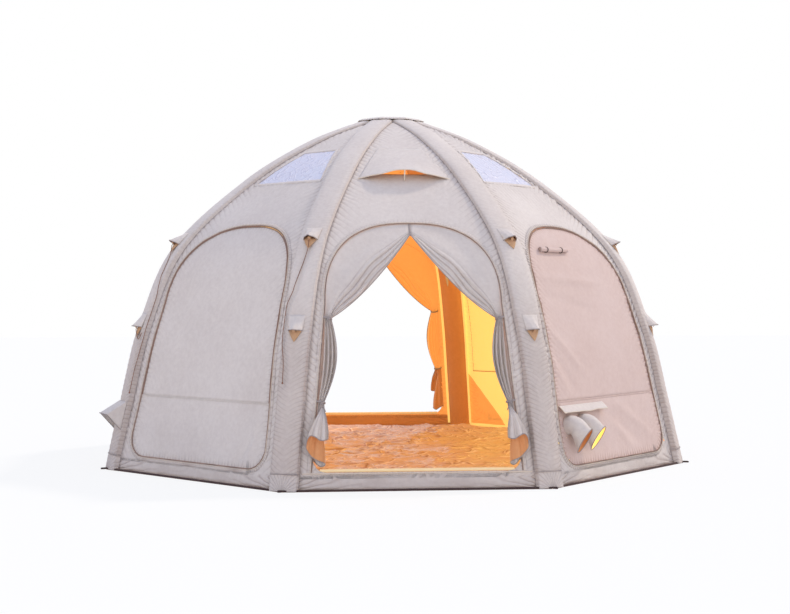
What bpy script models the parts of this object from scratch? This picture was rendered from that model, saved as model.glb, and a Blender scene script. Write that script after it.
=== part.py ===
"""Eight-sided inflatable dome tent: air beams in sewn sleeves, canvas walls, doors, windows and vents.

Metres, +Z up. The origin is on the ground under the crown. The front door faces -Y.
Each face and each beam is modelled as if it stood at the front and is then turned about Z.
"""
import math

import bmesh
import bpy
from mathutils import Matrix, Vector

# Whole tent
corner_radius = 2.35
crest_height = 2.695
side_count = 8
crown_apothem = 0.235
rib_steps = 12
smoothing_angle = math.radians(35)

# Line of a beam's outer crest, from the foot to the crown: shares of the way out from
# the crown's edge to the corner, and shares of the height
rib_shares = (
    (1.0, 0.0),
    (0.949, 0.174),
    (0.880, 0.388),
    (0.753, 0.610),
    (0.471, 0.811),
    (0.214, 0.933),
    (0.0, 1.0),
)

# Fabric and fits
canvas = 0.002
clearance = 0.0003
seam_gap = 0.0006
overrun = 0.05

# Ground sheet with its peg loops
floor_thickness = 0.005
floor_overhang = 0.004
peg_loop_width = 0.032
peg_loop_length = 0.036
peg_hole_radius = 0.008
peg_hole_sides = 8

# Beam sleeve: a flat outer strip and a round inner side, in shares of half width and depth
sleeve_half_width = 0.095
sleeve_depth = 0.155
sleeve_section_shares = (
    (0.0, 0.0),
    (0.55, -0.02),
    (0.92, -0.09),
    (1.0, -0.17),
    (1.0, -0.52),
    (0.72, -0.86),
    (0.0, -1.0),
)
outer_strip_points = 4
crest_above_wall = 0.02

# Guy line hoods sewn on each sleeve
hood_height_shares = (0.3881, 0.6178)
hood_rise = 0.062
hood_length = 0.11
hood_under = 0.006
hood_shoulder_share = 0.62

# Air beams and the hub that joins them
beam_radius = 0.068
beam_axis_depth = 0.0815
beam_sides = 10
hub_apothem = 0.172
hub_height = 0.142
crown_rim = 0.008
crown_rise = 0.018
crown_ring_share = 0.55
crown_ring_rise_share = 0.72

# Walls
wall_tip_half_width = 0.006
foot_lean_share = 0.3

# Door and window arches, on every face
arch_bottom = 0.12
arch_spring = 1.22
arch_top_share = 0.6605
arch_power = 2.5
arch_margin_bottom = 0.0771
arch_margin_spring = 0.0666
arch_corner_radius = 0.10
arch_corner_steps = 3
arch_crown_steps = 14
fold_seam_height = 0.55

# Roof windows and vents share one outline
roof_bottom_share = 0.7866
roof_top_share = 0.885
roof_half_width_bottom = 0.335
roof_half_width_top = 0.165
vent_margin = 0.045

# Vent hoods with their props
vent_hood_lift = 0.085
vent_hood_columns = 8
vent_hood_gap = 0.0009
overlap_step = 0.004
prop_radius = 0.0045
prop_sides = 8
prop_drop = 0.012
prop_tip_gap = 0.0004
prop_tip_share = 0.15

# Door curtains
curtain_columns = 10
curtain_rows_top = 9
curtain_rows_bundle = 6
curtain_rows_tail = 5
curtain_thickness = 0.002
curtain_overlap = 0.014
hem_inside = 0.007
hem_limit_share = 0.5
curtain_wall_gap = 0.0005
curtain_meet_drop = 0.08
upper_tie_height = 1.13
lower_tie_height = 0.575
tail_low_share = 0.2957
tail_high_share = 0.5826
tie_width = 0.045
bundle_width = 0.105
bundle_depth = 0.04
tail_width = 0.26
tail_depth = 0.10
pleat_depth = 0.016
pleat_count = 2.5
centre_gap = 0.004
swag_turn_share = 0.93
swag_bend_share = 0.60
swag_sag_share = 0.22
swag_pleat_share = 0.8
flat_hem_share = 0.25
tail_open_share = 0.5

# The tail's fold, from the wall to the free edge: column, shares of width, reach and height
tail_shares = (
    (0.0, 0.054, 0.0, 0.1),
    (0.1, -0.05, -0.01, 0.1),
    (0.2, -0.20, 0.2, 0.0),
    (0.3, -0.32, 0.4, 0.0),
    (0.4, -0.10, 0.42, 0.1),
    (0.5, 0.10, 0.48, 0.45),
    (0.6, 0.20, 0.68, 0.75),
    (0.7, 0.12, 0.86, 1.0),
    (0.8, -0.06, 0.92, 1.0),
    (1.0, -0.34, 1.0, 0.9),
)

# Service port on the front right face: a flap over two hanging duct sleeves
port_flap_below_seam = 0.025
port_flap_left = -0.645
port_flap_right = -0.085
port_flap_reach = 0.055
port_flap_drop = 0.045
port_flap_gap = 0.0009
port_below_flap = 0.135
port_centres = (-0.565, -0.39)
port_radius = 0.058
duct_radius = 0.065
duct_wall = 0.002
duct_sides = 12
duct_bend_steps = 4
duct_bend_radius = 0.078
duct_hang = math.radians(58)
duct_lengths = (0.12, 0.115)
duct_mouth_half_height = 0.092
duct_mouth_half_width = 0.036
duct_gap = 0.0004
duct_collar = 0.012
port_face = 1

# Low hood on the left front sleeve
low_hood_beam = 6
low_hood_top = 0.505
low_hood_rim = 0.385
low_hood_bottom = 0.30
low_hood_half_width = 0.086
low_hood_reach = 0.125
low_hood_gap = 0.0006
low_hood_column_shares = (-1.0, -0.6, 0.0, 0.6, 1.0)
low_hood_bulge_share = 0.06

# Rolled cover near the top of the front right window
roll_radius = 0.017
roll_length = 0.36
roll_drop = 0.18
roll_centre_share = -0.333
roll_sides = 12
roll_gap = 0.0004

# Inflation valve on the back left beam
valve_height = 0.32
valve_radius = 0.019
valve_flange_radius = 0.032
valve_flange_thickness = 0.004
valve_bore_radius = 0.009
valve_bore_depth = 0.016
valve_stand = 0.016
valve_sides = 20
cap_radius = 0.022
cap_thickness = 0.009
cap_gap = 0.0004
cap_ear_length = 0.012
cap_ear_width = 0.012
valve_lug_sink = 0.003
valve_beam = 4

# Hook for a lamp under the hub
hook_plate_radius = 0.03
hook_plate_thickness = 0.004
hook_ring_radius = 0.018
hook_wire_radius = 0.003
hook_gap = 0.0003
hook_ring_steps = 16
hook_wire_sides = 6

# Guy lines, each as a tube through points chosen along its sleeve
cord_diameter = 0.005
cord_step = 0.015
cord_front_left = (
    (-0.6994, -1.6922, 1.6747),
    (-0.7062, -1.7087, 1.6545),
    (-0.7088, -1.7131, 1.6207),
    (-0.7181, -1.7226, 1.5820),
    (-0.7415, -1.7530, 1.5113),
    (-0.7726, -1.7864, 1.4308),
    (-0.8044, -1.8215, 1.3473),
    (-0.8152, -1.8310, 1.3102),
    (-0.8347, -1.8322, 1.2682),
    (-0.8559, -1.8375, 1.2166),
    (-0.8654, -1.8445, 1.1640),
    (-0.8736, -1.8631, 1.1037),
    (-0.8825, -1.8838, 1.0403),
    (-0.8867, -1.8974, 0.9953),
    (-0.8896, -1.9188, 0.9472),
    (-0.8842, -1.9467, 0.8784),
    (-0.8828, -1.9720, 0.8093),
    (-0.8861, -1.9908, 0.7488),
    (-0.8885, -2.0020, 0.6999),
)
cord_left_front = (
    (-1.6911, -0.7020, 1.6747),
    (-1.7076, -0.7088, 1.6545),
    (-1.7108, -0.7137, 1.6206),
    (-1.7183, -0.7272, 1.5818),
    (-1.7444, -0.7595, 1.5108),
    (-1.7770, -0.7928, 1.4302),
    (-1.7884, -0.8167, 1.3826),
    (-1.7966, -0.8390, 1.3429),
    (-1.8087, -0.8505, 1.2740),
    (-1.8361, -0.8630, 1.1834),
    (-1.8621, -0.8738, 1.1034),
    (-1.8828, -0.8826, 1.0400),
    (-1.9023, -0.8904, 0.9646),
    (-1.9213, -0.8978, 0.8949),
    (-1.9430, -0.9062, 0.8151),
    (-1.9623, -0.9139, 0.7448),
    (-1.9815, -0.9210, 0.6564),
    (-2.0007, -0.9286, 0.5665),
)
cord_left_loop = (
    (-1.9593, -0.8131, 1.0450),
    (-1.9635, -0.8149, 1.0285),
    (-1.9588, -0.8231, 0.9936),
    (-1.9514, -0.8345, 0.9660),
    (-1.9456, -0.8494, 0.9553),
    (-1.9392, -0.8600, 0.9601),
    (-1.9266, -0.8655, 0.9812),
    (-1.9194, -0.8646, 1.0040),
)

face_names = (
    "front",
    "front_right",
    "right",
    "back_right",
    "back",
    "back_left",
    "left",
    "front_left",
)
beam_names = (
    "front_right",
    "right_front",
    "right_back",
    "back_right",
    "back_left",
    "left_back",
    "left_front",
    "front_left",
)
door_faces = (0, 4)
skylight_faces = (1, 3, 5, 7)

half_angle = math.pi / side_count
full_angle = 2 * math.pi / side_count
weld_distance = 0.00001
sleeve_foot = floor_thickness + clearance
wall_edge_gap = clearance + canvas * math.sin(half_angle)
wall_foot = floor_thickness + clearance + canvas * foot_lean_share
hood_heights = [share * crest_height for share in hood_height_shares]
arch_top = arch_top_share * crest_height
roof_bottom = roof_bottom_share * crest_height
roof_top = roof_top_share * crest_height
port_flap_top = fold_seam_height - port_flap_below_seam
port_height = port_flap_top - port_below_flap
tail_low = tail_low_share * lower_tie_height
tail_high = tail_high_share * lower_tie_height

materials = {}


def material(name, colour, roughness):
    """A plain fabric or plastic finish, made once for each name."""
    if name not in materials:
        finish = bpy.data.materials.new(name)
        finish.use_nodes = True
        shader = finish.node_tree.nodes["Principled BSDF"]
        shader.inputs["Base Color"].default_value = (*colour, 1.0)
        shader.inputs["Roughness"].default_value = roughness
        shader.inputs["Metallic"].default_value = 0.0
        finish.diffuse_color = (*colour, 1.0)
        materials[name] = finish
    return materials[name]


def canvas_material():
    return material("canvas", (0.66, 0.60, 0.57), 0.85)


def lining_material():
    return material("lined_canvas", (0.72, 0.45, 0.22), 0.85)


def floor_material():
    return material("floor_fabric", (0.60, 0.30, 0.14), 0.6)


def bladder_material():
    return material("beam_bladder", (0.75, 0.76, 0.74), 0.35)


def window_material():
    return material("window_film", (0.80, 0.84, 0.90), 0.1)


def plastic_material():
    return material("moulded_plastic", (0.05, 0.05, 0.05), 0.4)


def cord_material():
    return material("braided_cord", (0.45, 0.25, 0.12), 0.7)


def steel_material():
    return material("plated_wire", (0.6, 0.6, 0.6), 0.3)


def webbing_material():
    return material("webbing", (0.78, 0.74, 0.70), 0.8)


def clear_scene():
    for item in list(bpy.data.objects):
        bpy.data.objects.remove(item, do_unlink=True)


def make_collection(name):
    group = bpy.data.collections.new(name)
    bpy.context.scene.collection.children.link(group)
    return group


def make_object(name, mesh, finish, smooth=True):
    """Turns a bmesh into a named object of the tent."""
    bmesh.ops.recalc_face_normals(mesh, faces=mesh.faces)
    data = bpy.data.meshes.new(name)
    mesh.to_mesh(data)
    mesh.free()
    if smooth:
        data.shade_smooth()
        data.set_sharp_from_angle(angle=smoothing_angle)
    item = bpy.data.objects.new(name, data)
    tent.objects.link(item)
    item.data.materials.append(finish)
    return item


def make_cutter(name, mesh):
    bmesh.ops.recalc_face_normals(mesh, faces=mesh.faces)
    data = bpy.data.meshes.new(name)
    mesh.to_mesh(data)
    mesh.free()
    item = bpy.data.objects.new(name, data)
    cutters.objects.link(item)
    item.hide_render = True
    item.display_type = "WIRE"
    return item


def place(item, turn, origin=Vector((0.0, 0.0, 0.0))):
    """Turns a piece modelled at the front to its place, with its origin at the given point."""
    item.data.transform(Matrix.Translation(-origin))
    item.location = Matrix.Rotation(turn, 4, "Z") @ origin
    item.rotation_euler = (0.0, 0.0, turn)
    return item


def cut(item, cutter, operation="DIFFERENCE"):
    modifier = item.modifiers.new(operation.lower(), "BOOLEAN")
    modifier.object = cutter
    modifier.operation = operation
    modifier.solver = "EXACT"


def thicken(item, thickness, offset=-1.0):
    modifier = item.modifiers.new("wall", "SOLIDIFY")
    modifier.thickness = thickness
    modifier.offset = offset
    modifier.use_even_offset = True
    modifier.use_rim = True


def face_turn(face):
    return face * full_angle


def beam_turn(beam):
    return (beam + 0.5) * full_angle


def loft(mesh, rows, closed):
    """Joins rows of points of equal count with quads and returns the rows' vertices."""
    grid = [[mesh.verts.new(point) for point in row] for row in rows]
    count = len(grid[0])
    last = count if closed else count - 1
    for lower, upper in zip(grid, grid[1:]):
        for index in range(last):
            following = (index + 1) % count
            mesh.faces.new((lower[index], lower[following], upper[following], upper[index]))
    return grid


def cap(mesh, ring):
    mesh.faces.new(ring)


def prism(outline, near, far):
    """A prism through a wall: an outline in width and height, run from one depth to another."""
    mesh = bmesh.new()
    front = mesh.faces.new([mesh.verts.new((across, -near, up)) for across, up in outline])
    moved = bmesh.ops.extrude_face_region(mesh, geom=[front])["geom"]
    corners = [part for part in moved if isinstance(part, bmesh.types.BMVert)]
    bmesh.ops.translate(mesh, verts=corners, vec=(0.0, near - far, 0.0))
    bmesh.ops.reverse_faces(mesh, faces=[front])
    return mesh


def cylinder(radius, depth, sides):
    mesh = bmesh.new()
    bmesh.ops.create_cone(
        mesh, cap_ends=True, segments=sides, radius1=radius, radius2=radius, depth=depth
    )
    return mesh


def box(size, centre):
    mesh = bmesh.new()
    bmesh.ops.create_cube(mesh, size=1.0)
    bmesh.ops.scale(mesh, vec=size, verts=mesh.verts)
    bmesh.ops.translate(mesh, vec=centre, verts=mesh.verts)
    return mesh


def curve_value(before, start, end, after, share):
    """A smooth curve's value between two of its points."""
    return 0.5 * (
        2 * start
        + (end - before) * share
        + (2 * before - 5 * start + 4 * end - after) * share**2
        + (3 * start - before - 3 * end + after) * share**3
    )


def crest_line():
    """Points of a beam's crest as radius and height, from the foot up to the crown."""
    spans = len(rib_shares) - 1
    points = []
    for step in range(rib_steps + 1):
        along = step * spans / rib_steps
        index = min(int(along), spans - 1)
        knots = [rib_shares[min(max(index + shift, 0), spans)] for shift in (-1, 0, 1, 2)]
        out = curve_value(*(knot[0] for knot in knots), along - index)
        up = curve_value(*(knot[1] for knot in knots), along - index)
        radius = crown_apothem + out * (corner_radius - crown_apothem)
        points.append(Vector((radius, up * crest_height)))
    return points


def line_tangents(points):
    tangents = []
    for index in range(len(points)):
        before = points[max(index - 1, 0)]
        after = points[min(index + 1, len(points) - 1)]
        tangents.append((after - before).normalized())
    return tangents


def outward(tangent):
    """The outward normal of a line that climbs along the tangent."""
    return Vector((tangent.y, -tangent.x))


def position(points, height):
    """Place along a line, as its index and a share, at a height."""
    for index in range(len(points) - 1):
        if height <= points[index + 1].y:
            low = points[index].y
            return index + (height - low) / (points[index + 1].y - low)
    return len(points) - 1.0


def between(items, place_along):
    """The value at a place along a list of vectors."""
    index = min(int(place_along), len(items) - 2)
    return items[index].lerp(items[index + 1], place_along - index)


def sleeve_ring(index, inset):
    """One ring of a sleeve at a station, drawn in by the inset, in the beam's own frame."""
    crest = crest_points[index]
    tangent = crest_tangents[index]
    normal = outward(tangent)
    half_depth = sleeve_depth / 2
    across_shares = [share for share, _ in sleeve_section_shares]
    depth_shares = [share for _, share in sleeve_section_shares]
    half = list(zip(across_shares, depth_shares))
    mirrored = [(-across, depth) for across, depth in half[-2:0:-1]]
    ring = []
    for across_share, depth_share in half + mirrored:
        across = across_share * (sleeve_half_width - inset)
        depth = -half_depth + (depth_share * sleeve_depth + half_depth) * (1 - inset / half_depth)
        point = crest + normal * depth
        if index == 0:
            point += tangent * ((sleeve_foot - point.y) / tangent.y)
        if index == len(crest_points) - 1:
            point += tangent * ((crown_apothem + clearance - point.x) / tangent.x)
        ring.append(Vector((across, -point.x, point.y)))
    return ring


def ring_between(rings, along):
    index = min(int(along), len(rings) - 2)
    share = along - index
    return [low.lerp(high, share) for low, high in zip(rings[index], rings[index + 1])]


def hood_lift(height):
    """How far a guy line hood stands off the crest at a height."""
    for rim in hood_heights:
        if rim <= height < rim + hood_length:
            return hood_rise * (1 - (height - rim) / hood_length)
    return 0.0


def raised(ring, normal, lift):
    """The ring with its outer strip lifted, which makes the hood."""
    push = Vector((0.0, -normal.x, normal.y)) * lift
    lifted = [point.copy() for point in ring]
    lifted[0] += push
    lifted[1] += push * hood_shoulder_share
    lifted[-1] += push * hood_shoulder_share
    return lifted


def beam_sleeve(beam):
    """A canvas tube round a beam, with its two guy line hoods sewn on the crest."""
    outer = [sleeve_ring(index, 0.0) for index in range(len(crest_points))]
    inner = [sleeve_ring(index, canvas) for index in range(len(crest_points))]
    normals = [outward(tangent) for tangent in crest_tangents]
    stations = [(float(index), hood_lift(point.y)) for index, point in enumerate(crest_points)]
    for rim in hood_heights:
        stations.append((position(crest_points, rim - hood_under), 0.0))
        stations.append((position(crest_points, rim), hood_rise))
        stations.append((position(crest_points, rim + hood_length), 0.0))
    rows = []
    for along, lift in sorted(stations):
        ring = ring_between(outer, along)
        rows.append(raised(ring, between(normals, along), lift))
    mesh = bmesh.new()
    outer_grid = loft(mesh, rows, True)
    inner_grid = loft(mesh, inner, True)
    for outside, inside in ((outer_grid[0], inner_grid[0]), (outer_grid[-1], inner_grid[-1])):
        count = len(outside)
        for index in range(count):
            following = (index + 1) % count
            mesh.faces.new(
                (outside[index], outside[following], inside[following], inside[index])
            )
    sleeve = make_object(f"beam_sleeve_{beam_names[beam]}", mesh, canvas_material())
    return place(sleeve, beam_turn(beam))


def air_beam(beam):
    """The inflated bladder in a sleeve, from the ground sheet to the hub."""
    rows = []
    for index, crest in enumerate(crest_points):
        rows.append(beam_ring(crest, crest_tangents[index], index == 0))
    level = Vector((-1.0, 0.0))
    end = Vector((hub_apothem + clearance, crest_points[-1].y))
    rows.append(beam_ring(end, level, False))
    mesh = bmesh.new()
    grid = loft(mesh, rows, True)
    cap(mesh, grid[0])
    cap(mesh, grid[-1])
    bladder = make_object(f"air_beam_{beam_names[beam]}", mesh, bladder_material())
    return place(bladder, beam_turn(beam))


def beam_ring(crest, tangent, at_foot):
    normal = outward(tangent)
    ring = []
    for side in range(beam_sides):
        angle = 2 * math.pi * side / beam_sides
        across = beam_radius * math.sin(angle)
        point = crest + normal * (beam_radius * math.cos(angle) - beam_axis_depth)
        if at_foot:
            point += tangent * ((sleeve_foot - point.y) / tangent.y)
        ring.append(Vector((across, -point.x, point.y)))
    return ring


def crown_octagon(apothem, height):
    """Corners of the crown's octagon, whose flat sides face the beams."""
    reach = apothem / math.cos(half_angle)
    corners = []
    for side in range(side_count):
        angle = side * full_angle - math.pi / 2
        corners.append(Vector((reach * math.cos(angle), reach * math.sin(angle), height)))
    return corners


def crown_hub():
    """The welded hub that joins the eight beams to one air space."""
    top = crest_points[-1].y - beam_axis_depth + hub_height / 2
    mesh = bmesh.new()
    lower = crown_octagon(hub_apothem, top - hub_height)
    upper = crown_octagon(hub_apothem, top)
    grid = loft(mesh, [lower, upper], True)
    cap(mesh, grid[0])
    cap(mesh, grid[-1])
    return make_object("crown_hub", mesh, bladder_material())


def crown_cover():
    """The domed canvas patch over the hub, with its edge against the sleeves' ends."""
    top = crest_points[-1].y
    rows = [
        crown_octagon(crown_apothem, top - crown_rim),
        crown_octagon(crown_apothem, top),
        crown_octagon(crown_apothem * crown_ring_share, top + crown_rise * crown_ring_rise_share),
    ]
    mesh = bmesh.new()
    grid = loft(mesh, rows, True)
    cap(mesh, grid[0])
    peak = mesh.verts.new((0.0, 0.0, top + crown_rise))
    for index, corner in enumerate(grid[-1]):
        mesh.faces.new((corner, grid[-1][(index + 1) % side_count], peak))
    return make_object("crown_cover", mesh, canvas_material())


def ground_sheet():
    """The floor of the tent, an octagon with a peg loop at each corner."""
    outline = bpy.data.curves.new("ground_sheet", "CURVE")
    outline.dimensions = "2D"
    outline.fill_mode = "BOTH"
    outline.extrude = floor_thickness / 2
    reach = corner_radius + floor_overhang
    half_width = peg_loop_width / 2
    shoulder = reach - half_width * math.tan(half_angle)
    edge = []
    for beam in range(side_count):
        turn = Matrix.Rotation(beam_turn(beam) - math.pi / 2, 4, "Z")
        corners = (
            (shoulder, -half_width),
            (reach + peg_loop_length, -half_width),
            (reach + peg_loop_length, half_width),
            (shoulder, half_width),
        )
        edge += [turn @ Vector((out, across, 0.0)) for out, across in corners]
        hole_centre = reach + peg_loop_length - half_width
        hole = []
        for side in range(peg_hole_sides):
            angle = 2 * math.pi * side / peg_hole_sides
            out = hole_centre + peg_hole_radius * math.cos(angle)
            hole.append(turn @ Vector((out, peg_hole_radius * math.sin(angle), 0.0)))
        add_outline(outline, hole)
    add_outline(outline, edge)
    shape = bpy.data.objects.new("ground_sheet_outline", outline)
    shape.location = (0.0, 0.0, floor_thickness / 2)
    return solid_from_curve(shape, "ground_sheet", floor_material())


def add_outline(curve, points):
    spline = curve.splines.new("POLY")
    spline.points.add(len(points) - 1)
    for target, point in zip(spline.points, points):
        target.co = (*point, 1.0)
    spline.use_cyclic_u = True


def solid_from_curve(shape, name, finish):
    """Makes a welded mesh object from a curve object, which is then removed."""
    tent.objects.link(shape)
    bpy.context.view_layer.update()
    graph = bpy.context.evaluated_depsgraph_get()
    data = bpy.data.meshes.new_from_object(shape.evaluated_get(graph))
    mesh = bmesh.new()
    mesh.from_mesh(data)
    mesh.transform(shape.matrix_world)
    bmesh.ops.remove_doubles(mesh, verts=mesh.verts, dist=weld_distance)
    curve = shape.data
    bpy.data.objects.remove(shape, do_unlink=True)
    bpy.data.curves.remove(curve)
    bpy.data.meshes.remove(data)
    return make_object(name, mesh, finish)


def wall_edge(apothem):
    """Half the width of a wall at an apothem, up to the sleeves at its sides."""
    sleeve_share = (sleeve_half_width + wall_edge_gap) / math.cos(half_angle)
    return apothem * math.tan(half_angle) - sleeve_share


def wall_half_width(height):
    return wall_edge(between(wall_points, position(wall_points, height)).x)


def wall_line():
    """Points of a wall's middle line as apothem and height, from the floor to its tip."""
    points = []
    for crest, tangent in zip(crest_points, crest_tangents):
        inner = crest - outward(tangent) * crest_above_wall
        points.append(Vector((inner.x * math.cos(half_angle), inner.y)))
    low = points[0] + (points[0] - points[1])
    points[0] = at_height(low, points[1], wall_foot)
    tip = (sleeve_half_width + wall_edge_gap) / math.sin(half_angle)
    tip += wall_tip_half_width / math.tan(half_angle)
    while points[-2].x < tip:
        points.pop()
    share = (points[-2].x - tip) / (points[-2].x - points[-1].x)
    points[-1] = points[-2].lerp(points[-1], share)
    return points


def at_height(low, high, height):
    return low.lerp(high, (height - low.y) / (high.y - low.y))


def wall_point(across, height, lift):
    """A point over a wall's outer surface, in the face's own frame."""
    along = position(wall_points, height)
    middle = between(wall_points, along)
    normal = outward(between(wall_tangents, along)).normalized()
    middle = middle + normal * lift
    return Vector((across, -middle.x, middle.y))


def wall_shell(mesh):
    rows = []
    for middle in wall_points:
        edge = wall_edge(middle.x)
        rows.append([Vector((-edge, -middle.x, middle.y)), Vector((edge, -middle.x, middle.y))])
    loft(mesh, rows, False)


def arch_half_width(height, inset=0.0):
    """Half the width of the door or window arch at a height."""
    if height <= arch_spring:
        share = (height - arch_bottom) / (arch_spring - arch_bottom)
        return arch_half_width_bottom + (arch_half_width_spring - arch_half_width_bottom) * share - inset
    rise = (height - arch_spring) / (arch_top - inset - arch_spring)
    width_share = max(0.0, 1.0 - rise**arch_power) ** (1 / arch_power)
    return (arch_half_width_spring - inset) * width_share


def crown_shares(angle):
    """A place on the arch's crown, which is a little squarer than an ellipse."""
    return math.cos(angle) ** (2 / arch_power), math.sin(angle) ** (2 / arch_power)


def arch_outline(bottom, inset, rounded):
    """The arch's outline in width and height, from its right foot over the top to its left."""
    right = []
    if rounded:
        for step in range(arch_corner_steps + 1):
            angle = math.pi / 2 * step / arch_corner_steps
            up = bottom + inset + arch_corner_radius * (1 - math.cos(angle))
            edge = arch_half_width(up, inset)
            right.append((edge - arch_corner_radius * (1 - math.sin(angle)), up))
    else:
        right.append((arch_half_width(bottom + inset, inset), bottom + inset))
    for step in range(arch_crown_steps // 2):
        angle = math.pi * step / arch_crown_steps
        out_share, up_share = crown_shares(angle)
        up = arch_spring + (arch_top - inset - arch_spring) * up_share
        right.append(((arch_half_width_spring - inset) * out_share, up))
    left = [(-across, up) for across, up in reversed(right)]
    return right + [(0.0, arch_top - inset)] + left


def roof_outline(inset):
    """The outline that roof windows and vents share."""
    return [
        (roof_half_width_bottom - inset, roof_bottom + inset),
        (roof_half_width_top - inset, roof_top - inset),
        (-roof_half_width_top + inset, roof_top - inset),
        (-roof_half_width_bottom + inset, roof_bottom + inset),
    ]


def through_wall(name, outline, face):
    """A cutter that runs through one wall only."""
    mesh = prism(outline, corner_radius + overrun, overrun)
    return place(make_cutter(name, mesh), face_turn(face))


def wall(face):
    """One canvas face between two sleeves, with its openings."""
    mesh = bmesh.new()
    wall_shell(mesh)
    finish = canvas_material()
    panel = place(make_object(f"wall_{face_names[face]}", mesh, finish), face_turn(face))
    point_outward(panel)
    thicken(panel, canvas)
    label = face_names[face]
    if face in door_faces:
        opening = arch_outline(arch_bottom, 0.0, True)
        cut(panel, through_wall(f"door_cut_{label}", opening, face))
        vent = roof_outline(vent_margin)
        cut(panel, through_wall(f"vent_cut_{label}", vent, face))
    else:
        opening = arch_outline(fold_seam_height, 0.0, False)
        cut(panel, through_wall(f"window_cut_{label}", opening, face))
    if face in skylight_faces:
        cut(panel, through_wall(f"skylight_cut_{label}", roof_outline(0.0), face))
    if face == port_face:
        for number, centre in enumerate(port_centres, 1):
            hole = prism(circle(centre, port_height, port_radius), corner_radius + overrun, overrun)
            cut(panel, place(make_cutter(f"port_cut_{number}", hole), face_turn(face)))
    return panel


def circle(across, up, radius):
    points = []
    for side in range(duct_sides):
        angle = 2 * math.pi * side / duct_sides
        points.append((across + radius * math.cos(angle), up + radius * math.sin(angle)))
    return points


def point_outward(panel):
    """Turns a sheet's faces so that they look out of the tent."""
    facing = sum(polygon.normal.y * polygon.area for polygon in panel.data.polygons)
    if facing > 0:
        panel.data.flip_normals()


def window_flap(face):
    """The part of a window panel that unzips and folds out over its seam."""
    label = face_names[face]
    mesh = bmesh.new()
    wall_shell(mesh)
    flap = make_object(f"window_flap_{label}", mesh, canvas_material())
    point_outward(flap)
    hinge = wall_point(0.0, fold_seam_height, 0.0)
    place(flap, face_turn(face), hinge)
    thicken(flap, canvas)
    outline = arch_outline(fold_seam_height, seam_gap, False)
    cut(flap, through_wall(f"flap_outline_{label}", outline, face), "INTERSECT")
    return flap


def skylight(face):
    """A clear film pane in the roof."""
    label = face_names[face]
    mesh = bmesh.new()
    wall_shell(mesh)
    pane = make_object(f"skylight_{label}", mesh, window_material())
    point_outward(pane)
    place(pane, face_turn(face))
    thicken(pane, canvas)
    cut(pane, through_wall(f"skylight_outline_{label}", roof_outline(seam_gap), face), "INTERSECT")
    return pane


def heights_between(low, high):
    """The walls' own row heights within a range, with the range's ends."""
    rows = [point.y for point in wall_points if low + overlap_step < point.y < high - overlap_step]
    return [low] + rows + [high]


def bulged_hood(name, face, low, high, half_low, half_high, lift, columns):
    """A hood sewn to the wall along its top and sides, whose lower edge stands off."""
    rows = []
    for height in reversed(heights_between(low, high)):
        down = (high - height) / (high - low)
        half = half_high + (half_low - half_high) * down
        row = []
        for column in range(columns + 1):
            across = 2 * column / columns - 1
            off = vent_hood_gap + lift * down**2 * (1 - across**2)
            row.append(wall_point(across * half, height, off))
        rows.append(row)
    mesh = bmesh.new()
    loft(mesh, rows, False)
    hood = make_object(name, mesh, canvas_material())
    point_outward(hood)
    thicken(hood, canvas, 1.0)
    return place(hood, face_turn(face))


def sleeve_point(across, height, lift):
    """A point over a sleeve's outer strip, in the beam's own frame."""
    along = position(crest_points, height)
    rings = [sleeve_ring(index, 0.0) for index in range(len(crest_points))]
    strip = ring_between(rings, along)[:outer_strip_points]
    normal = outward(between(crest_tangents, along)).normalized()
    beside = abs(across)
    point = strip[-1]
    for inner, outer in zip(strip, strip[1:]):
        if beside <= outer.x:
            point = inner.lerp(outer, (beside - inner.x) / (outer.x - inner.x))
            break
    point = point + Vector((0.0, -normal.x, normal.y)) * lift
    return Vector((across, point.y, point.z))


def low_vent_hood():
    """A hood low on one sleeve: a sloping top with a cheek at each side, open below."""
    heights = [point.y for point in crest_points if low_hood_bottom < point.y < low_hood_top]
    heights = [low_hood_top] + heights[::-1] + [low_hood_bottom]
    mesh = bmesh.new()
    panel = []
    feet = []
    for height in heights:
        down = (low_hood_top - height) / (low_hood_top - low_hood_bottom)
        over = lerp(low_hood_top, low_hood_rim, down)
        row = []
        for share in low_hood_column_shares:
            bulge = low_hood_reach * low_hood_bulge_share * (1 - share**2)
            lift = low_hood_gap + (low_hood_reach + bulge) * down
            row.append(mesh.verts.new(sleeve_point(share * low_hood_half_width, over, lift)))
        panel.append(row)
        sides = (-low_hood_half_width, low_hood_half_width)
        if height == low_hood_top:
            feet.append((row[0], row[-1]))
        else:
            feet.append([mesh.verts.new(sleeve_point(side, height, low_hood_gap)) for side in sides])
    for (upper, lower), (upper_feet, lower_feet) in zip(zip(panel, panel[1:]), zip(feet, feet[1:])):
        for index in range(len(upper) - 1):
            mesh.faces.new((upper[index], upper[index + 1], lower[index + 1], lower[index]))
        for end, foot in ((0, 0), (-1, 1)):
            corners = [upper[end], lower[end], lower_feet[foot], upper_feet[foot]]
            if corners[0] == corners[3]:
                corners.pop()
            mesh.faces.new(corners)
    hood = make_object("low_vent_hood", mesh, canvas_material())
    point_outward(hood)
    thicken(hood, canvas, 1.0)
    return place(hood, beam_turn(low_hood_beam))


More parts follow.
